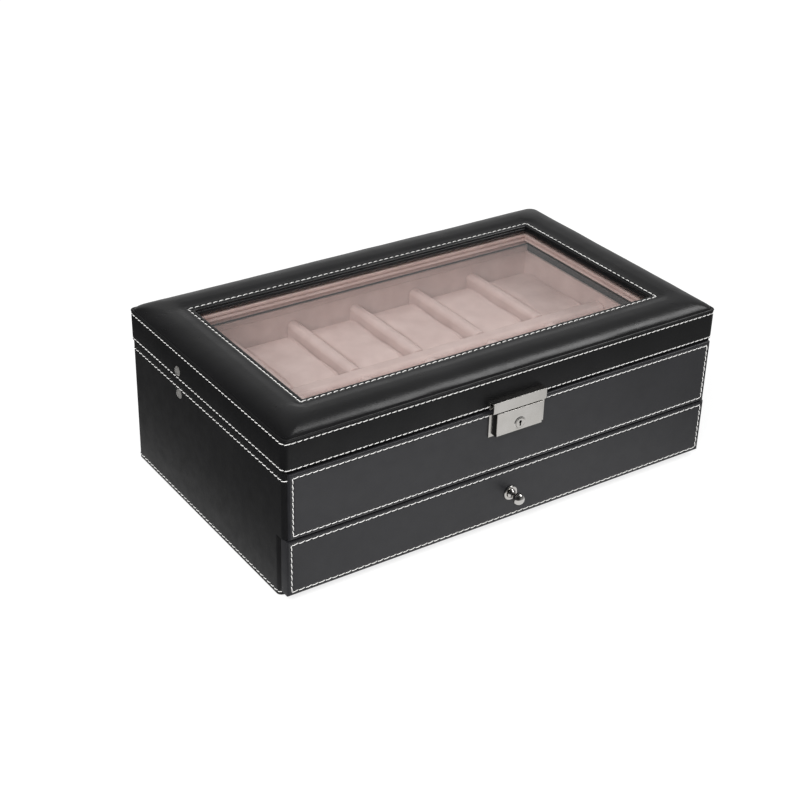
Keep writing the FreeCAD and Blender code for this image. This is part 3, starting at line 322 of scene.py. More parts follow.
# Dark steel only for the sleeve round the lock's pad, which is painted shade.
PAD_SHADE_STEEL = metal("painted_shade_steel", "#161616", "#222222", 0.4, 0.5, 12.0, 0.001)
ZINC_STEEL = metal("zinc_plated_steel", "#a4a6a8", "#b9bbbd", 0.28, 0.4, 12.0, 0.001)
GLASS = window_glass()
FIBREBOARD = pressed_fibre("fibreboard", "#7d6248", "#9a7d5c", 0.9, 0.85)
BASE_FELT = pressed_fibre("base_felt", "#1b1b1c", "#2c2c2e", 0.6, 0.95)
FOAM = pressed_fibre("polyurethane_foam", "#c8c3ae", "#ded9c6", 0.8, 0.95)


# Making pieces

def new_piece(name, mesh, material, body, nodes=(), smooth_angle=40.0):
    """An object of the finished mesh, riding on its body and standing for its nodes."""
    mesh.materials.clear()
    mesh.materials.append(material)
    if smooth_angle is not None:
        mesh.shade_smooth()
        mesh.set_sharp_from_angle(angle=math.radians(smooth_angle))
    piece = bpy.data.objects.new(name, mesh)
    bpy.context.scene.collection.objects.link(piece)
    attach(piece, body)
    if nodes:
        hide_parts(*nodes)
    return piece


def mesh_of(name, points, faces):
    """A mesh from points in millimetres and faces, its sides turned outwards."""
    mesh = bpy.data.meshes.new(name)
    mesh.from_pydata([tuple(value * MM for value in point) for point in points], [], faces)
    shape = bmesh.new()
    shape.from_mesh(mesh)
    bmesh.ops.remove_doubles(shape, verts=shape.verts, dist=1e-6)
    bmesh.ops.dissolve_degenerate(shape, edges=shape.edges, dist=1e-6)
    bmesh.ops.recalc_face_normals(shape, faces=shape.faces)
    shape.to_mesh(mesh)
    shape.free()
    return mesh


def finished(mesh, modifiers):
    """The mesh with its modifiers worked in. Each modifier is its type, a name and settings."""
    holder = bpy.data.objects.new("holder", mesh)
    bpy.context.scene.collection.objects.link(holder)
    for kind, settings in modifiers:
        modifier = holder.modifiers.new(kind.lower(), kind)
        for name, value in settings.items():
            setattr(modifier, name, value)
    seen = holder.evaluated_get(bpy.context.evaluated_depsgraph_get())
    result = bpy.data.meshes.new_from_object(seen)
    bpy.data.objects.remove(holder)
    return result


def softened(node, width, segments=3, angle=34.0):
    """A node's own shape with its triangles merged and its edges rounded, as a covered or stamped piece has them."""
    shape = bmesh.new()
    shape.from_mesh(frame["nodes"][node].data)
    bmesh.ops.remove_doubles(shape, verts=shape.verts, dist=2e-6)
    bmesh.ops.dissolve_limit(shape, angle_limit=math.radians(0.6), verts=shape.verts, edges=shape.edges)
    for face in shape.faces:
        face.smooth = True
    mesh = bpy.data.meshes.new(node)
    shape.to_mesh(mesh)
    shape.free()
    rounding = {
        "width": width * MM,
        "segments": segments,
        "limit_method": "ANGLE",
        "angle_limit": math.radians(angle),
        "use_clamp_overlap": True,
    }
    return finished(mesh, [("BEVEL", rounding), ("WEIGHTED_NORMAL", {"keep_sharp": True})])


def soften(node, width, material, body, segments=3):
    """A rounded copy of a node in its place."""
    return new_piece(node + "_finished", softened(node, width, segments), material, body, [node], None)


def dress(node, material):
    """Gives a node of the construction its material."""
    slots = frame["nodes"][node].data.materials
    slots.clear()
    slots.append(material)


def stations(half_x, half_y, spacing, corner_steps):
    """Where a ring's section stands round the box: corner number, angle in degrees and share of the side after it."""
    found = []
    for corner in range(4):
        for step in range(corner_steps + 1):
            found.append((corner, 90.0 * corner + 90.0 * step / corner_steps, 0.0))
        length = 2 * (half_x if corner % 2 == 0 else half_y)
        count = round(length / spacing)
        for step in range(1, count):
            found.append((corner, 90.0 * (corner + 1), step / count))
    return found


def ring_point(half_x, half_y, inset, radius, station):
    """A section point's place in plan and the way out from it."""
    corner, angle, share = station
    centre_x = half_x - inset - radius
    centre_y = half_y - inset - radius
    signs = ((1, 1), (-1, 1), (-1, -1), (1, -1))
    here = Vector((signs[corner][0] * centre_x, signs[corner][1] * centre_y, 0))
    after = signs[(corner + 1) % 4]
    there = Vector((after[0] * centre_x, after[1] * centre_y, 0))
    out = Vector((math.cos(math.radians(angle)), math.sin(math.radians(angle)), 0))
    return here.lerp(there, share) + out * radius, out


def ring(name, half_x, half_y, section, spacing, shift=None, corner_steps=10):
    """A closed ring round the box. The section's points are inset, height and corner radius, and shift moves them."""
    posts = stations(half_x, half_y, spacing, corner_steps)
    points = []
    for station in posts:
        for index, (inset, height, radius) in enumerate(section):
            place, out = ring_point(half_x, half_y, inset, radius, station)
            place.z = height
            if shift is not None:
                place += shift(place, out, index)
            points.append(place)
    rows = len(section)
    faces = []
    for post in range(len(posts)):
        after = (post + 1) % len(posts)
        for row in range(rows):
            up = (row + 1) % rows
            faces.append((post * rows + row, post * rows + up, after * rows + up, after * rows + row))
    return mesh_of(name, points, faces)


def arc(centre, radius_across, radius_up, start, end, steps):
    """Points on an elliptic arc in a section, from one angle to another."""
    found = []
    for step in range(steps + 1):
        angle = math.radians(start + (end - start) * step / steps)
        found.append((centre[0] + radius_across * math.cos(angle), centre[1] + radius_up * math.sin(angle)))
    return found


def groove(distance):
    """How deep a row of stitches pulls the leather in, so far from the row."""
    share = min(1.0, abs(distance) / GROOVE_HALF)
    return GROOVE_DEPTH * (1 - share * share * (3 - 2 * share))


def pucker(along, pitch):
    """How the leather rises between two stitches."""
    return PUCKER * math.cos(2 * math.pi * along / pitch)


# Lid

LID_LOW, LID_HIGH = in_mm("lid_skirt_leather")
LID_TOP = in_mm("lid_top_leather")[1].z
LID_X = LID_HIGH.x
LID_Y = LID_HIGH.y
SEAM_Z = LID_HIGH.z
LID_RIM = LID_LOW.z
GLASS_LOW, GLASS_HIGH = in_mm("glass_pane")
WINDOW_X = GLASS_HIGH.x - GLASS_SEAT
WINDOW_Y = GLASS_HIGH.y - GLASS_SEAT
WINDOW_INSET = LID_X - WINDOW_X


def pad_section():
    """The padded top in section, from the seam over the shoulder and the dish to its inner edge, and back over the board."""
    board_low, board_high = in_mm("lid_frame_board")
    rise = LID_TOP - SEAM_Z
    flat = LID_TOP - DISH_DROP
    far = WINDOW_INSET - DISH_FAR
    near = WINDOW_INSET - DISH_NEAR
    row = WINDOW_INSET - WINDOW_ROW
    inner = WINDOW_INSET - EDGING_WIDTH
    points = [(SEAM_CREASE, SEAM_Z + SEAM_FOLD - 0.8), (SEAM_CREASE, SEAM_Z + SEAM_FOLD - 0.1)]
    for inset, height in arc((SHOULDER_WIDTH, SEAM_Z), -SHOULDER_WIDTH, rise, PAD_START_ANGLE, 90.0, 16):
        points.append((inset, height))
    for step in range(1, 9):
        share = step / 8
        drop = DISH_DROP * share * share * (3 - 2 * share)
        points.append((far + (near - far) * share, LID_TOP - drop))
    for step in range(-4, 5):
        away = GROOVE_HALF * step / 4
        points.append((row + away, flat - groove(away)))
    points += arc((inner - PAD_END_ROLL, flat - PAD_END_ROLL), PAD_END_ROLL, PAD_END_ROLL, 90.0, 0.0, 4)
    over_board = board_high.z + BOARD_GAP
    board_in = LID_X - board_high.x - BOARD_GAP
    bottom = board_low.z + BOARD_GAP
    points += [(inner, over_board), (board_in, over_board), (board_in, bottom), (SEAM_CREASE + 0.2, bottom)]
    return [(inset, height, pad_corner(inset)) for inset, height in points]


def edging_section():
    """The binding of the window in section: a strip beside the padding, its roll and the sleeve down to the glass."""
    top = LID_TOP - DISH_DROP - EDGING_DROP
    over_board = in_mm("lid_frame_board")[1].z + BOARD_GAP
    outer = WINDOW_INSET - EDGING_WIDTH + BOARD_GAP
    beside_board = WINDOW_INSET - BOARD_SET_BACK + BOARD_GAP
    bottom = GLASS_HIGH.z + BOARD_GAP
    crease = top - EDGING_ROLL - 0.4
    points = [(outer, top)]
    points += arc((WINDOW_INSET - EDGING_ROLL, top - EDGING_ROLL), EDGING_ROLL, EDGING_ROLL, 90.0, 0.0, 6)
    points += [(WINDOW_INSET - 0.5, crease), (WINDOW_INSET - 0.5, crease - 0.15)]
    middle = (WINDOW_INSET - 0.5, (crease + bottom) / 2)
    points += arc(middle, SLEEVE_BULGE, (crease - bottom) / 2 - 0.25, 88.0, -60.0, 9)
    points += [(WINDOW_INSET - 0.1, bottom), (beside_board, bottom), (beside_board, over_board), (outer, over_board)]
    return [(inset, height, EDGING_CORNER_R) for inset, height in points]


def pad_corner(inset):
    """The corner radius of the padded top at an inset: round outside, nearly square at the window."""
    far = WINDOW_INSET - DISH_FAR
    row = WINDOW_INSET - WINDOW_ROW - GROOVE_HALF
    outer = LID_CORNER_R + inset / 2
    if inset <= far:
        return outer
    share = min(1.0, (inset - far) / (row - far))
    return (LID_CORNER_R + far / 2) * (1 - share) + EDGING_CORNER_R * share


def pad_shift(place, out, index):
    """The small unevenness of padding under leather, and the leather rising between the window's stitches."""
    soft = noise.noise(place / 26.0) * 0.22 + noise.noise(place / 9.0) * 0.05
    up = Vector((0, 0, soft)) if place.z > SEAM_Z + 4.0 else Vector()
    from_row_x = abs(abs(place.x) - (WINDOW_X + WINDOW_ROW))
    from_row_y = abs(abs(place.y) - (WINDOW_Y + WINDOW_ROW))
    if place.z > LID_TOP - 2.0 and min(from_row_x, from_row_y) < GROOVE_HALF:
        along = place.x if from_row_y < from_row_x else place.y
        up.z += pucker(along, WINDOW_PITCH)
    return up


def make_lid_pad():
    """The foam-padded leather top of the lid with its window."""
    mesh = ring("padded_lid_top", LID_X, LID_Y, pad_section(), 1.4, pad_shift, 14)
    piece = new_piece("padded_lid_top", mesh, LID_LEATHER, "lid", ["lid_top_leather", "lid_padding"], 50.0)
    mesh = ring("window_edging", LID_X, LID_Y, edging_section(), 4.0, None, 4)
    new_piece("window_edging", mesh, LID_LEATHER, "lid", (), 50.0)


def fold_section():
    """The fold that shows as a fine line between the band and the padded top."""
    centre = (FOLD_R + 0.05, SEAM_Z + FOLD_RISE)
    points = arc(centre, -FOLD_R, FOLD_R, -60.0, 240.0, 12)
    return [(inset, height, LID_CORNER_R - FOLD_R) for inset, height in points]


def skirt_section():
    """The band round the lid's walls in section: out and up from the rim's fold, over its top fold and back inside."""
    board = in_mm("lid_wall_boards")[1]
    skin = LID_X - board.x
    wall_in = LID_X - in_mm("glass_retainer")[1].x + 0.6
    points = arc((RIM_ROLL, LID_RIM + RIM_ROLL), -RIM_ROLL, -RIM_ROLL, 90.0, 0.0, 5)
    for row_z in (LID_RIM + SKIRT_BOTTOM_ROW, SEAM_Z - SKIRT_TOP_ROW):
        for step in range(-4, 5):
            away = GROOVE_HALF * step / 4
            if row_z + away > LID_RIM + RIM_ROLL:
                points.append((groove(away), row_z + away))
    edge = SEAM_Z + SKIRT_EDGE_RISE
    points += arc((SKIRT_EDGE_R, edge), -SKIRT_EDGE_R, SKIRT_EDGE_R, 0.0, 90.0, 4)
    points += [(skin + 0.2, edge + 0.2), (skin + 0.2, edge)]
    points += [(skin - 0.05, SEAM_Z + 0.6), (skin - 0.05, LID_RIM + 0.65)]
    points += [(wall_in, LID_RIM + 0.65), (wall_in, LID_RIM + 0.3), (wall_in - 0.3, LID_RIM)]
    return [(inset, height, max(0.3, LID_CORNER_R - inset)) for inset, height in points]


def skirt_shift(place, out, index):
    """The leather rising between the stitches of both rows."""
    to_row = min(abs(place.z - SEAM_Z + SKIRT_TOP_ROW), abs(place.z - LID_RIM - SKIRT_BOTTOM_ROW))
    if place.z < LID_RIM + 0.7:
        return Vector()
    share = max(0.0, 1 - to_row / GROOVE_HALF)
    rise = pucker(place.y if abs(out.x) > abs(out.y) else place.x, SKIRT_PITCH)
    return out * (rise * share + noise.noise(place / 30.0) * 0.1)


def make_lid_skirt():
    """The leather band round the lid's walls, folded under the rim."""
    mesh = ring("lid_skirt", LID_X, LID_Y, skirt_section(), 1.2, skirt_shift, 10)
    new_piece("lid_skirt", mesh, BAND_LEATHER, "lid", ["lid_skirt_leather"], 50.0)
    mesh = ring("seam_fold", LID_X, LID_Y, fold_section(), 4.0, None, 10)
    new_piece("seam_fold", mesh, LID_LEATHER, "lid", (), 80.0)


# Front panels

def edge_steps(low, high, inner):
    """Places across a panel, close together near both edges and even between them."""
    near = [0.0, 0.15, 0.35, 0.6, 0.9, PANEL_ROLL]
    for step in range(-4, 5):
        near.append(inner + GROOVE_HALF * step / 4)
    near.append(inner + 2.4)
    middle_low = low + near[-1]
    middle_high = high - near[-1]
    count = max(2, round((middle_high - middle_low) / 1.3))
    places = [low + value for value in near]
    for step in range(1, count):
        places.append(middle_low + (middle_high - middle_low) * step / count)
    places += [high - value for value in reversed(near)]
    return places


def panel_depth(x, z, low, high, row, pitch_x, pitch_z):
    """How far the leather lies behind the panel's face at a point of it."""
    from_x = min(x - low.x, high.x - x)
    from_z = min(z - low.z, high.z - z)
    distance = min(from_x, from_z)
    depth = 0.0
    if distance < PANEL_ROLL:
        depth = PANEL_ROLL - math.sqrt(max(0.0, PANEL_ROLL**2 - (PANEL_ROLL - distance) ** 2))
    pull = groove(distance - row)
    if pull > 0:
        along = x / pitch_x if from_z < from_x else z / pitch_z
        pull -= PUCKER * math.cos(2 * math.pi * along) * pull / GROOVE_DEPTH
    belly = PANEL_BELLY * (1 - min(1.0, distance / 12.0)) ** 2
    soft = noise.noise(Vector((x / 30.0, z / 30.0, row))) * 0.1
    return depth + pull + belly * 0.4 + 0.06 + soft * 0.5


def panel_cover(name, node, row, pitch_x, pitch_z, body):
    """Leather drawn over a board: a stitched face with rolled edges, its sides turned back, one skin thick."""
    low, high = in_mm(node)
    across = edge_steps(low.x, high.x, row)
    upwards = edge_steps(low.z, high.z, row)
    points = []
    for x in across:
        for z in upwards:
            depth = panel_depth(x, z, low, high, row, pitch_x, pitch_z)
            points.append((x, low.y + depth, z))
    rows = len(upwards)
    faces = []
    for i in range(len(across) - 1):
        for j in range(rows - 1):
            faces.append((i * rows + j, i * rows + j + 1, (i + 1) * rows + j + 1, (i + 1) * rows + j))
    rim = [i * rows for i in range(len(across))]
    rim += [(len(across) - 1) * rows + j for j in range(1, rows)]
    rim += [i * rows + rows - 1 for i in range(len(across) - 2, -1, -1)]
    rim += [j for j in range(rows - 2, 0, -1)]
    start = len(points)
    for index in rim:
        points.append((points[index][0], high.y, points[index][2]))
    for step in range(len(rim)):
        after = (step + 1) % len(rim)
        faces.append((rim[step], start + step, start + after, rim[after]))
    mesh = mesh_of(name, points, faces)
    mesh = finished(mesh, [("SOLIDIFY", {"thickness": PANEL_SKIN * MM, "offset": -1.0, "use_rim": True})])
    return new_piece(name, mesh, PANEL_LEATHER_PAINTED_LIGHT, body, [node], 50.0)


# Stitches

def stitch_tree():
    """Geometry nodes that lay one slanted stitch at each step along a path."""
    tree = bpy.data.node_groups.new("stitch_row", "GeometryNodeTree")
    sockets = {}
    tree.interface.new_socket("Path", in_out="INPUT", socket_type="NodeSocketGeometry")
    for name in ("Pitch", "Stitch length", "Thread", "Rise", "Slant"):
        sockets[name] = tree.interface.new_socket(name, in_out="INPUT", socket_type="NodeSocketFloat").identifier
    sockets["Material"] = tree.interface.new_socket("Material", in_out="INPUT", socket_type="NodeSocketMaterial").identifier
    tree.interface.new_socket("Stitches", in_out="OUTPUT", socket_type="NodeSocketGeometry")
    given = add(tree, "NodeGroupInput").outputs
    line = add(tree, "GeometryNodeMeshToCurve", Mesh=given["Path"]).outputs[0]
    steps = add(tree, "GeometryNodeResampleCurve", {"mode": "LENGTH"}, Curve=line, Length=given["Pitch"]).outputs[0]
    way = add(tree, "GeometryNodeInputTangent").outputs[0]
    outward = add(tree, "GeometryNodeInputNamedAttribute", {"data_type": "FLOAT_VECTOR"}, Name="face_out").outputs[0]
    facing = add(tree, "FunctionNodeAxesToRotation", {"primary_axis": "Z", "secondary_axis": "X"},
                 _0=outward, _1=way).outputs[0]
    lean = add(tree, "ShaderNodeCombineXYZ", Z=given["Slant"]).outputs[0]
    lean = add(tree, "FunctionNodeEulerToRotation", Euler=lean).outputs[0]
    turned = add(tree, "FunctionNodeRotateRotation", {"rotation_space": "LOCAL"}, Rotation=facing, Rotate_By=lean).outputs[0]
    half = add(tree, "ShaderNodeMath", {"operation": "MULTIPLY"}, _0=given["Stitch length"], _1=0.5).outputs[0]
    back = add(tree, "ShaderNodeMath", {"operation": "MULTIPLY"}, _0=given["Stitch length"], _1=-0.5).outputs[0]
    sunk = add(tree, "ShaderNodeMath", {"operation": "MULTIPLY"}, _0=given["Thread"], _1=-0.35).outputs[0]
    start = add(tree, "ShaderNodeCombineXYZ", X=back, Z=sunk).outputs[0]
    end = add(tree, "ShaderNodeCombineXYZ", X=half, Z=sunk).outputs[0]
    top = add(tree, "ShaderNodeCombineXYZ", Z=given["Rise"]).outputs[0]
    bend = add(tree, "GeometryNodeCurveQuadraticBezier", Resolution=5, Start=start, Middle=top, End=end).outputs[0]
    radius = add(tree, "ShaderNodeMath", {"operation": "MULTIPLY"}, _0=given["Thread"], _1=0.5).outputs[0]
    round_form = add(tree, "GeometryNodeCurvePrimitiveCircle", Resolution=6, Radius=radius).outputs[0]
    body = add(tree, "GeometryNodeCurveToMesh", Curve=bend, Profile_Curve=round_form, Fill_Caps=True).outputs[0]
    laid = add(tree, "GeometryNodeInstanceOnPoints", Points=steps, Instance=body, Rotation=turned).outputs[0]
    real = add(tree, "GeometryNodeRealizeInstances", Geometry=laid).outputs[0]
    made = add(tree, "GeometryNodeSetMaterial", Geometry=real, Material=given["Material"]).outputs[0]
    result = add(tree, "NodeGroupOutput")
    tree.links.new(made, result.inputs[0])
    return tree, sockets


STITCH_TREE, STITCH_SOCKETS = stitch_tree()


def stitch_row(path, outward, pitch, slant=STITCH_SLANT):
    """The stitches of one row, whose path is a list of points in millimetres with the way out of the leather at each."""
    mesh = bpy.data.meshes.new("stitch_path")
    mesh.from_pydata([tuple(point * MM) for point in path], [(i, i + 1) for i in range(len(path) - 1)], [])
    attribute = mesh.attributes.new("face_out", "FLOAT_VECTOR", "POINT")
    attribute.data.foreach_set("vector", [value for way in outward for value in way])
    holder = bpy.data.objects.new("stitch_holder", mesh)
    bpy.context.scene.collection.objects.link(holder)
    modifier = holder.modifiers.new("stitches", "NODES")
    modifier.node_group = STITCH_TREE
    given = {
        "Pitch": pitch * MM,
        "Stitch length": pitch * STITCH_SHARE * MM,
        "Thread": THREAD * MM,
        "Rise": STITCH_RISE * 2 * MM,
        "Slant": math.radians(slant),
        "Material": THREAD_WHITE,
    }
    for name, value in given.items():
        modifier[STITCH_SOCKETS[name]] = value
    seen = holder.evaluated_get(bpy.context.evaluated_depsgraph_get())
    result = bpy.data.meshes.new_from_object(seen)
    bpy.data.objects.remove(holder)
    return result


def straight_row(start, end, outward, pitch, slant=STITCH_SLANT):
    """A row between two corners, with a whole number of stitches."""
    start, end, outward = Vector(start), Vector(end), Vector(outward)
    count = round((end - start).length / pitch)
    step = (end - start) / count
    return stitch_row([start + step / 2, end - step / 2], [outward, outward], step.length, slant)


def band_row(half_x, half_y, radius, z, pitch, from_corner, to_corner, depth=0.0):
    """A row round the box's sides and its round corners, from the middle of one corner to the middle of another."""
    path = []
    outward = []
    for corner in range(from_corner, to_corner + 1):
        first = 45 if corner == from_corner else 0
        last = 45 if corner == to_corner else 90
        for angle in range(first, last + 1, 15):
            station = (corner % 4, 90.0 * (corner % 4) + angle, 0.0)
            place, out = ring_point(half_x, half_y, depth, radius, station)
            place.z = z
            path.append(place)
            outward.append(out)
    length = sum((b - a).length for a, b in zip(path, path[1:]))
    count = round(length / pitch)
    return stitch_row(path, outward, length / count * ALL_STITCHES)


def join_rows(name, rows, body):
    """All the stitches on one body as one piece."""
    shape = bmesh.new()
    for row in rows:
        shape.from_mesh(row)
    mesh = bpy.data.meshes.new(name)
    shape.to_mesh(mesh)
    shape.free()
    new_piece(name, mesh, THREAD_WHITE, body, (), 60.0)


def panel_rows(node, row, pitch_x, pitch_z):
    """The rows of stitches just inside a front panel's four edges."""
    low, high = in_mm(node)
    y = low.y + GROOVE_DEPTH
    corners = [
        (low.x + row, y, low.z + row),
        (high.x - row, y, low.z + row),
        (high.x - row, y, high.z - row),
        (low.x + row, y, high.z - row),
    ]
    rows = []
    for start, end, pitch in zip(corners, corners[1:] + corners[:1], (pitch_x, pitch_z, pitch_x, pitch_z)):
        rows.append(straight_row(start, end, (0, -1, 0), pitch))
    return rows


def foot_row(side, high):
    """The row along the foot of one side: from the middle of the back round a back corner to the nose by the drawer."""
    nose_y = in_mm("drawer_front_board")[1].y + NOSE_GAP
    path = [Vector((0, high.y, CASE_BOTTOM_ROW))]
    outward = [Vector((0, 1, 0))]
    turns = [(high.y - LID_CORNER_R, LID_CORNER_R, step) for step in range(90, -1, -15)]
    turns += [(nose_y + NOSE_R, NOSE_R, step) for step in range(0, -NOSE_TURN - 1, -NOSE_TURN // 4)]
    for centre_y, radius, degrees in turns:
        out = Vector((math.cos(math.radians(degrees)), math.sin(math.radians(degrees)), 0))
        place = Vector((high.x - radius, centre_y, CASE_BOTTOM_ROW)) + out * radius
        outward.append(Vector((side * out.x, out.y, 0)))
        path.append(Vector((side * place.x, place.y, place.z)))
    length = sum((b - a).length for a, b in zip(path, path[1:]))
    return stitch_row(path, outward, length / round(length / CASE_PITCH) * ALL_STITCHES)


def make_stitches():
    """Every visible row: three on the lid, two on the case, one on each front panel."""
    row_x = WINDOW_X + WINDOW_ROW
    row_y = WINDOW_Y + WINDOW_ROW
    z = LID_TOP - DISH_DROP - GROOVE_DEPTH
    corners = [(row_x, row_y, z), (-row_x, row_y, z), (-row_x, -row_y, z), (row_x, -row_y, z)]
    lid_rows = []
    for start, end in zip(corners, corners[1:] + corners[:1]):
        lid_rows.append(straight_row(start, end, (0, 0, 1), WINDOW_PITCH))
    for height in (SEAM_Z - SKIRT_TOP_ROW, LID_RIM + SKIRT_BOTTOM_ROW):
        lid_rows.append(band_row(LID_X, LID_Y, LID_CORNER_R, height, SKIRT_PITCH, 0, 4, GROOVE_DEPTH))
    join_rows("lid_stitches", lid_rows, "lid")
    low, high = in_mm("case_leather")
    case_rows = [band_row(high.x, high.y, LID_CORNER_R, high.z - CASE_TOP_ROW, CASE_PITCH, -1, 2)]
    case_rows += [foot_row(side, high) for side in (-1, 1)]
    case_rows += panel_rows("upper_panel_leather", PANEL_ROW, PANEL_PITCH_X, PANEL_PITCH_Z)
    join_rows("case_stitches", case_rows, "case")
    join_rows("drawer_stitches", panel_rows("drawer_front_leather", DRAWER_ROW, DRAWER_PITCH_X, DRAWER_PITCH_Z), "drawer")


# Watch pillows

def oval(half_y, half_z, tuck, steps=12):
    """Points round a pillow cut across: full-round at the back and the front, and flat between."""
    radius = half_z - tuck
    points = []
    for end in (1, -1):
        for step in range(steps + 1):
            angle = math.radians(180 * step / steps - 90)
            points.append((end * (half_y - half_z + radius * math.cos(angle)), end * radius * math.sin(angle)))
    return points


def pillow_form(half_x, half_y, half_z):
    """An oval block of foam with soft ends, as a pillow is cut before its cover is drawn over it."""
    ends = [(-half_x, 1.6), (0.6 - half_x, 0.5), (2.0 - half_x, 0.0)]
    rings = ends + [(-x, tuck) for x, tuck in reversed(ends)]
    points = [(x, y, z + half_z) for x, tuck in rings for y, z in oval(half_y, half_z, tuck)]
    count = len(points) // len(rings)
    faces = [tuple(range(count)), tuple(range(len(points) - count, len(points)))]
    for row in range(len(rings) - 1):
        for step in range(count):
            after = (step + 1) % count
            faces.append((row * count + step, row * count + after, (row + 1) * count + after, (row + 1) * count + step))
    mesh = mesh_of("pillow_form", points, faces)
    return finished(mesh, [("REMESH", {"mode": "VOXEL", "voxel_size": PILLOW_VOXEL * MM, "use_smooth_shade": True})])


def stuffed(mesh):
    """The pillow's cover after stuffing presses it out, by a cloth simulation. No point moves more than a small way."""
    rest = [vert.co.copy() for vert in mesh.vertices]
    holder = bpy.data.objects.new("pillow_cloth", mesh)
    bpy.context.scene.collection.objects.link(holder)
    cloth = holder.modifiers.new("cloth", "CLOTH")
    cloth.settings.use_pressure = True
    cloth.settings.uniform_pressure_force = PILLOW_STUFFING
    cloth.settings.effector_weights.gravity = 0.0
    cloth.settings.quality = 5
    scene = bpy.context.scene
    for number in range(1, 15):
        scene.frame_set(number)
    seen = holder.evaluated_get(bpy.context.evaluated_depsgraph_get())
    result = bpy.data.meshes.new_from_object(seen)
    bpy.data.objects.remove(holder)
    scene.frame_set(1)
    most = PILLOW_MOST * MM
    for vert, start in zip(result.vertices, rest):
        moved = vert.co - start
        if moved.length > most:
            vert.co = start + moved.normalized() * most
    return result


def fitted(mesh, half_x, half_y, half_z):
    """Presses the stuffed form into its cell, a little flatter towards its ends than in the middle."""
    for vert in mesh.vertices:
        x, y, z = vert.co / MM
        x = max(-half_x, min(half_x, x))
        y = max(-half_y, min(half_y, y))
        most = half_z - PILLOW_CROWN * (x / half_x) ** 2
        z = half_z + max(-half_z, min(most, z - half_z))
        vert.co = mm(x, y, z)
    mesh.update()
    return finished(mesh, [("SUBSURF", {"levels": 1, "render_levels": 1})])


def sewn(mesh, half_x, half_y, half_z):
    """Cuts the mesh along the double seam round each end and draws it in there."""
    shape = bmesh.new()
    shape.from_mesh(mesh)
    seams = [side * (half_x - inset) for side in (-1, 1) for inset in PILLOW_SEAMS]
    for seam in seams:
        for shift in (-PILLOW_SEAM_HALF, 0.0, PILLOW_SEAM_HALF):
            parts = shape.verts[:] + shape.edges[:] + shape.faces[:]
            place = mm(seam + shift, 0, 0)
            bmesh.ops.bisect_plane(shape, geom=parts, dist=1e-6, plane_co=place, plane_no=(1, 0, 0))
    for vert in shape.verts:
        place = vert.co / MM
        away = min(abs(place.x - seam) for seam in seams)
        spine_y = max(half_z - half_y, min(half_y - half_z, place.y))
        inward = (Vector((place.x, spine_y, half_z)) - place).normalized()
        vert.co += inward * PILLOW_SEAM_DEPTH * max(0.0, 1 - away / PILLOW_SEAM_HALF) * MM
    shape.to_mesh(mesh)
    shape.free()
    return mesh


def make_pillows():
    """Twelve pillows, one stuffed form set in each cell."""
    low, high = in_mm("watch_pillow_rear_1")
    half_x, half_y, half_z = (high - low) / 2
    form = pillow_form(half_x - PILLOW_SLACK, half_y - PILLOW_SLACK, half_z - PILLOW_SLACK)
    form = stuffed(form)
    form = sewn(fitted(form, half_x, half_y, half_z), half_x, half_y, half_z)
    for row in ("rear", "front"):
        for number in range(1, 7):
            node = "watch_pillow_%s_%d" % (row, number)
            low, high = in_mm(node)
            mesh = form.copy()
            centre = (low + high) / 2
            mesh.transform(Matrix.Translation(mm(centre.x, centre.y, low.z)))
            piece = new_piece("pillow_%s_%d" % (row, number), mesh, VELVET, "case", [node], 180.0)


# Inside of the case, lid and drawer

def make_linings():
    """The velvet-covered tray, dividers, glass frame and drawer lining."""
    soften("compartment_lining", 0.5, VELVET, "case")
    soften("long_divider", 1.2, VELVET, "case")
    for row in ("rear", "front"):
        soften("cross_dividers_" + row, 1.2, VELVET, "case")
    soften("glass_retainer", 0.5, VELVET, "lid")
    soften("drawer_lining", 0.5, VELVET, "drawer")


def make_case_cover():
    """The leather drawn over the case's boards."""
    soften("case_leather", 0.5, CASE_LEATHER, "case")


# Metal parts

def turned_piece(profile, centre, steps=48):
    """A solid of revolution about an axis pointing out of the drawer's front. The profile is radius and reach."""
    points = []
    for radius, reach in profile:
        for step in range(steps):
            angle = 2 * math.pi * step / steps
            points.append((centre.x + radius * math.cos(angle), centre.y - reach, centre.z + radius * math.sin(angle)))
    faces = []
    for row in range(len(profile) - 1):
        for step in range(steps):
            after = (step + 1) % steps
            faces.append((row * steps + step, row * steps + after, (row + 1) * steps + after, (row + 1) * steps + step))
    return mesh_of("turned_piece", points, faces)


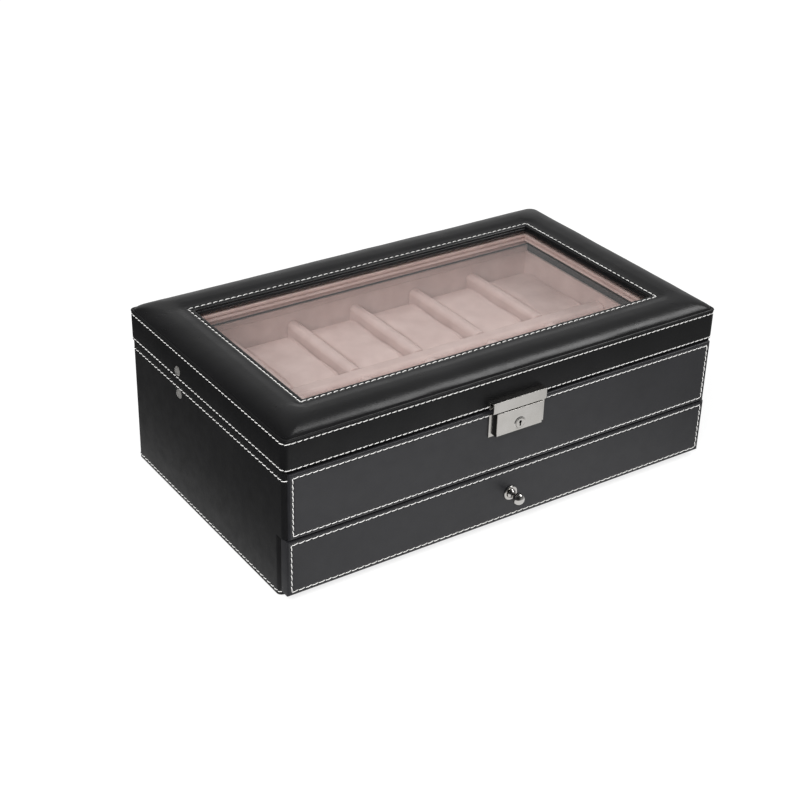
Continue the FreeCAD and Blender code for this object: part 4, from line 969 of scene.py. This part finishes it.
def make_knob():
    """The drawer's turned knob on its rosette."""
    low, high = in_mm("knob")
    rose_low, rose_high = in_mm("knob_rosette")
    centre = Vector((0, rose_high.y, (low.z + high.z) / 2))
    head = (high.z - low.z) / 2
    length = rose_high.y - low.y
    start = rose_high.y - high.y
    middle = length - head
    waist = 1.9
    dip = math.radians(50)
    foot = 3.1
    profile = [(0.0, start), (foot - 0.4, start), (foot, start + 0.35), (foot - 0.15, start + 0.8)]
    neck_end = middle - head * math.sin(dip)
    neck_r = head * math.cos(dip)
    for step in range(1, 9):
        share = step / 8
        curve = math.sin(math.pi * share) ** 0.8
        radius = (foot - 0.15) * (1 - share) + neck_r * share - (foot + neck_r - 2 * waist) / 2 * curve
        profile.append((radius, start + 0.8 + (neck_end - start - 0.8) * share))
    for step in range(1, 19):
        angle = -dip + (math.pi / 2 + dip) * step / 18
        profile.append((head * math.cos(angle), middle + head * math.sin(angle)))
    new_piece("turned_knob", turned_piece(profile, centre), POLISHED_NICKEL, "drawer", ["knob"], 50.0)
    rose_r = (rose_high.z - rose_low.z) / 2
    thick = rose_high.y - rose_low.y
    rose = [(0.0, 0.0), (rose_r - 0.2, 0.0), (rose_r, 0.2)]
    for step in range(1, 7):
        angle = math.radians(90 * step / 6)
        rose.append((rose_r - 0.9 + 0.9 * math.cos(angle), 0.25 + (thick - 0.25) * math.sin(angle)))
    rose += [(3.6, thick), (3.3, thick - 0.15), (0.0, thick - 0.15)]
    new_piece("round_rosette", turned_piece(rose, centre), POLISHED_NICKEL, "drawer", ["knob_rosette"], 50.0)


def make_pad_shade_sleeve():
    """A dark sleeve between the lock's raised pad and the plate behind it: painted shade for the pad's shadowed side
    face and the gap round it.
    """
    low, high = in_mm("lock_plate")
    plate_y = low.y + PAD_RISE
    half_x = PAD_HALF_X + PAD_SHADE_SLEEVE
    bottom, top = low.z + PAD_FOOT - PAD_SHADE_SLEEVE, high.z - PAD_SHADE_SLEEVE
    sides = [(-half_x, bottom), (half_x, bottom), (half_x, top), (-half_x, top)]
    points = [(x, y, z) for y in (plate_y + 0.1, low.y + PAD_BEVEL) for x, z in sides]
    faces = [(0, 1, 2, 3), (7, 6, 5, 4)] + [(i, i + 4, (i + 1) % 4 + 4, (i + 1) % 4) for i in range(4)]
    new_piece("lock_pad_painted_shade", mesh_of("lock_pad_painted_shade", points, faces), PAD_SHADE_STEEL, "case", (), 30.0)


def make_cylinder_ring():
    """The bevelled ring round the lock's cylinder, on the face of the raised pad."""
    pad_low, pad_high = in_mm("lock_plate")
    plug_low, plug_high = in_mm("lock_plug")
    centre = (plug_low + plug_high) / 2
    centre.y = pad_low.y
    inner = (plug_high.x - plug_low.x) / 2 + 0.12
    profile = [(inner, 0.0), (inner, 0.35), (inner + 0.2, 0.5), (inner + 0.45, 0.45), (inner + 0.9, 0.0)]
    piece = turned_piece(profile + profile[:1], centre)
    new_piece("cylinder_ring", piece, POLISHED_NICKEL, "case", (), 30.0)


def node_slots():
    """Which finish the record gives each node."""
    return {part["node"]: part["material_slot"] for part in frame["record"]["subparts"]}


def make_metalwork():
    """Lock, catch, hinges, stays, rivets and screws, with the edges that stamping and turning leave."""
    bodies = {node: body for body, nodes in frame["record"]["behaviour"]["bodies"].items() for node in nodes}
    finishes = {
        "satin_nickel": (SATIN_NICKEL, 0.22),
        "polished_nickel": (POLISHED_NICKEL, 0.25),
        "stay_steel": (ZINC_STEEL, 0.12),
    }
    for node, slot in node_slots().items():
        if slot in finishes and not frame["nodes"][node].hide_render:
            material, width = finishes[slot]
            # Rivets take the lighter, partly matt copy of the nickel, which is painted light.
            soften(node, width, RIVET_NICKEL_PAINTED_LIGHT if node.endswith("_rivets") else material, bodies[node])


def dress_boards():
    """Gives the boards, foam and felt that stay as they are their materials."""
    finishes = {"fibreboard": FIBREBOARD, "base_felt": BASE_FELT, "foam": FOAM, "window_glass": GLASS}
    for node, slot in node_slots().items():
        if not frame["nodes"][node].hide_render:
            dress(node, finishes[slot])


# Studio

def stepped(tree, along, low, high, first, last):
    """A level that goes smoothly from one value to another between two places."""
    found = add(tree, "ShaderNodeMapRange", {"interpolation_type": "SMOOTHSTEP"},
                Value=along, From_Min=low, From_Max=high, To_Min=first, To_Max=last)
    return found.outputs["Result"]


def both(tree, first, second):
    """Two levels multiplied."""
    return add(tree, "ShaderNodeMath", {"operation": "MULTIPLY"}, _0=first, _1=second).outputs[0]


def white_rays(tree):
    """One for rays that come straight from the camera or through the glass."""
    rays = add(tree, "ShaderNodeLightPath").outputs
    seen = add(tree, "ShaderNodeMath", {"operation": "MAXIMUM"}, _0=rays["Is Camera Ray"], _1=rays["Is Transmission Ray"])
    return seen.outputs[0], rays["Is Glossy Ray"]


def make_floor():
    """A pale floor that keeps the box's shadow and reads white past it."""
    mesh = bpy.data.meshes.new("floor")
    side = FLOOR_HALF
    mesh.from_pydata([(-side, -side, 0), (side, -side, 0), (side, side, 0), (-side, side, 0)], [], [(0, 1, 2, 3)])
    floor = bpy.data.objects.new("floor", mesh)
    bpy.context.scene.collection.objects.link(floor)
    material = bpy.data.materials.new("studio_floor")
    material.use_nodes = True
    tree = material.node_tree
    tree.nodes.clear()
    seen, glossy = white_rays(tree)
    place = add(tree, "ShaderNodeTexCoord").outputs["Object"]
    along = add(tree, "ShaderNodeSeparateXYZ", Vector=place).outputs["X"]
    level = both(tree, stepped(tree, along, -0.21, -0.13, TABLE_LEFT, TABLE_FRONT),
                 stepped(tree, along, 0.06, 0.26, 1.0, TABLE_RIGHT))
    plain = add(tree, "ShaderNodeBsdfDiffuse", Color=linear("#e4e4e4")).outputs[0]
    shade = add(tree, "ShaderNodeBsdfDiffuse", Color=linear("#989898")).outputs[0]
    away = add(tree, "ShaderNodeVectorMath", {"operation": "LENGTH"}, _0=place).outputs["Value"]
    whiteness = stepped(tree, away, 0.6, 2.2, FLOOR_GLOW, 1.0)
    glow = add(tree, "ShaderNodeEmission", Color=linear("#ffffff"), Strength=whiteness).outputs[0]
    bright = add(tree, "ShaderNodeAddShader", _0=shade, _1=glow).outputs[0]
    gleam = add(tree, "ShaderNodeEmission", Strength=level).outputs[0]
    either = add(tree, "ShaderNodeMixShader", _0=glossy, _1=plain, _2=gleam).outputs[0]
    either = add(tree, "ShaderNodeMixShader", _0=seen, _1=either, _2=bright).outputs[0]
    output = add(tree, "ShaderNodeOutputMaterial")
    tree.links.new(either, output.inputs["Surface"])
    mesh.materials.append(material)


def make_world():
    """A white studio that lights softly from all round, darker to the left of the box."""
    world = bpy.data.worlds.new("studio")
    bpy.context.scene.world = world
    world.use_nodes = True
    tree = world.node_tree
    tree.nodes.clear()
    seen, glossy = white_rays(tree)
    way = add(tree, "ShaderNodeTexCoord").outputs["Generated"]
    along, depth, height = add(tree, "ShaderNodeSeparateXYZ", Vector=way).outputs
    level = both(tree, stepped(tree, along, -0.5, 0.6, ROOM_LEFT, ROOM_RIGHT),
                 both(tree, stepped(tree, height, 0.1, 0.6, 1.0, ROOM_ABOVE),
                      both(tree, stepped(tree, depth, -0.5, 0.3, ROOM_FRONT, 1.0),
                           stepped(tree, along, 0.5, 0.7, 1.0, ROOM_FAR_RIGHT))))
    plain = add(tree, "ShaderNodeBackground", Color=linear("#ffffff"), Strength=WORLD_LIGHT).outputs[0]
    gleam = add(tree, "ShaderNodeBackground", Strength=level).outputs[0]
    white = add(tree, "ShaderNodeBackground", Color=linear("#ffffff"), Strength=1.0).outputs[0]
    either = add(tree, "ShaderNodeMixShader", _0=glossy, _1=plain, _2=gleam).outputs[0]
    either = add(tree, "ShaderNodeMixShader", _0=seen, _1=either, _2=white).outputs[0]
    output = add(tree, "ShaderNodeOutputWorld")
    tree.links.new(either, output.inputs["Surface"])


def make_lamp(name, place, size, power, mirrored=True):
    """A soft box that faces the middle of the watch box. One that isn't mirrored makes no highlights."""
    lamp = bpy.data.lights.new(name, "AREA")
    lamp.shape = "RECTANGLE"
    lamp.size, lamp.size_y = size
    lamp.energy = power
    holder = bpy.data.objects.new(name, lamp)
    bpy.context.scene.collection.objects.link(holder)
    holder.location = place
    holder.rotation_euler = (-Vector(place)).to_track_quat("-Z", "Y").to_euler()
    holder.visible_glossy = mirrored


def make_camera():
    """The camera at the photograph's place and angle."""
    lens = bpy.data.cameras.new("camera")
    lens.sensor_width = SENSOR
    lens.lens = FOCAL_PIXELS / PHOTO_SIDE * SENSOR
    lens.clip_start = 0.05
    holder = bpy.data.objects.new("camera", lens)
    bpy.context.scene.collection.objects.link(holder)
    holder.location = mm(*CAMERA_PLACE)
    holder.rotation_euler = [math.radians(value) for value in CAMERA_TURN]
    bpy.context.scene.camera = holder


make_camera()
make_lid_pad()
make_lid_skirt()
panel_cover("front_panel_cover", "upper_panel_leather", PANEL_ROW, PANEL_PITCH_X, PANEL_PITCH_Z, "case")
panel_cover("drawer_front_cover", "drawer_front_leather", DRAWER_ROW, DRAWER_PITCH_X, DRAWER_PITCH_Z, "drawer")
make_case_cover()
make_linings()
make_pillows()
make_knob()
make_pad_shade_sleeve()
make_cylinder_ring()
make_metalwork()
dress_boards()
make_stitches()
make_floor()
make_world()
make_lamp("key_box", (1.2, -0.32, 1.75), (0.9, 0.9), 12.0)
make_lamp("sky_box", (-1.4, -1.1, 1.45), (1.3, 1.3), 46.0, False)

bpy.context.scene.view_settings.view_transform = "Standard"
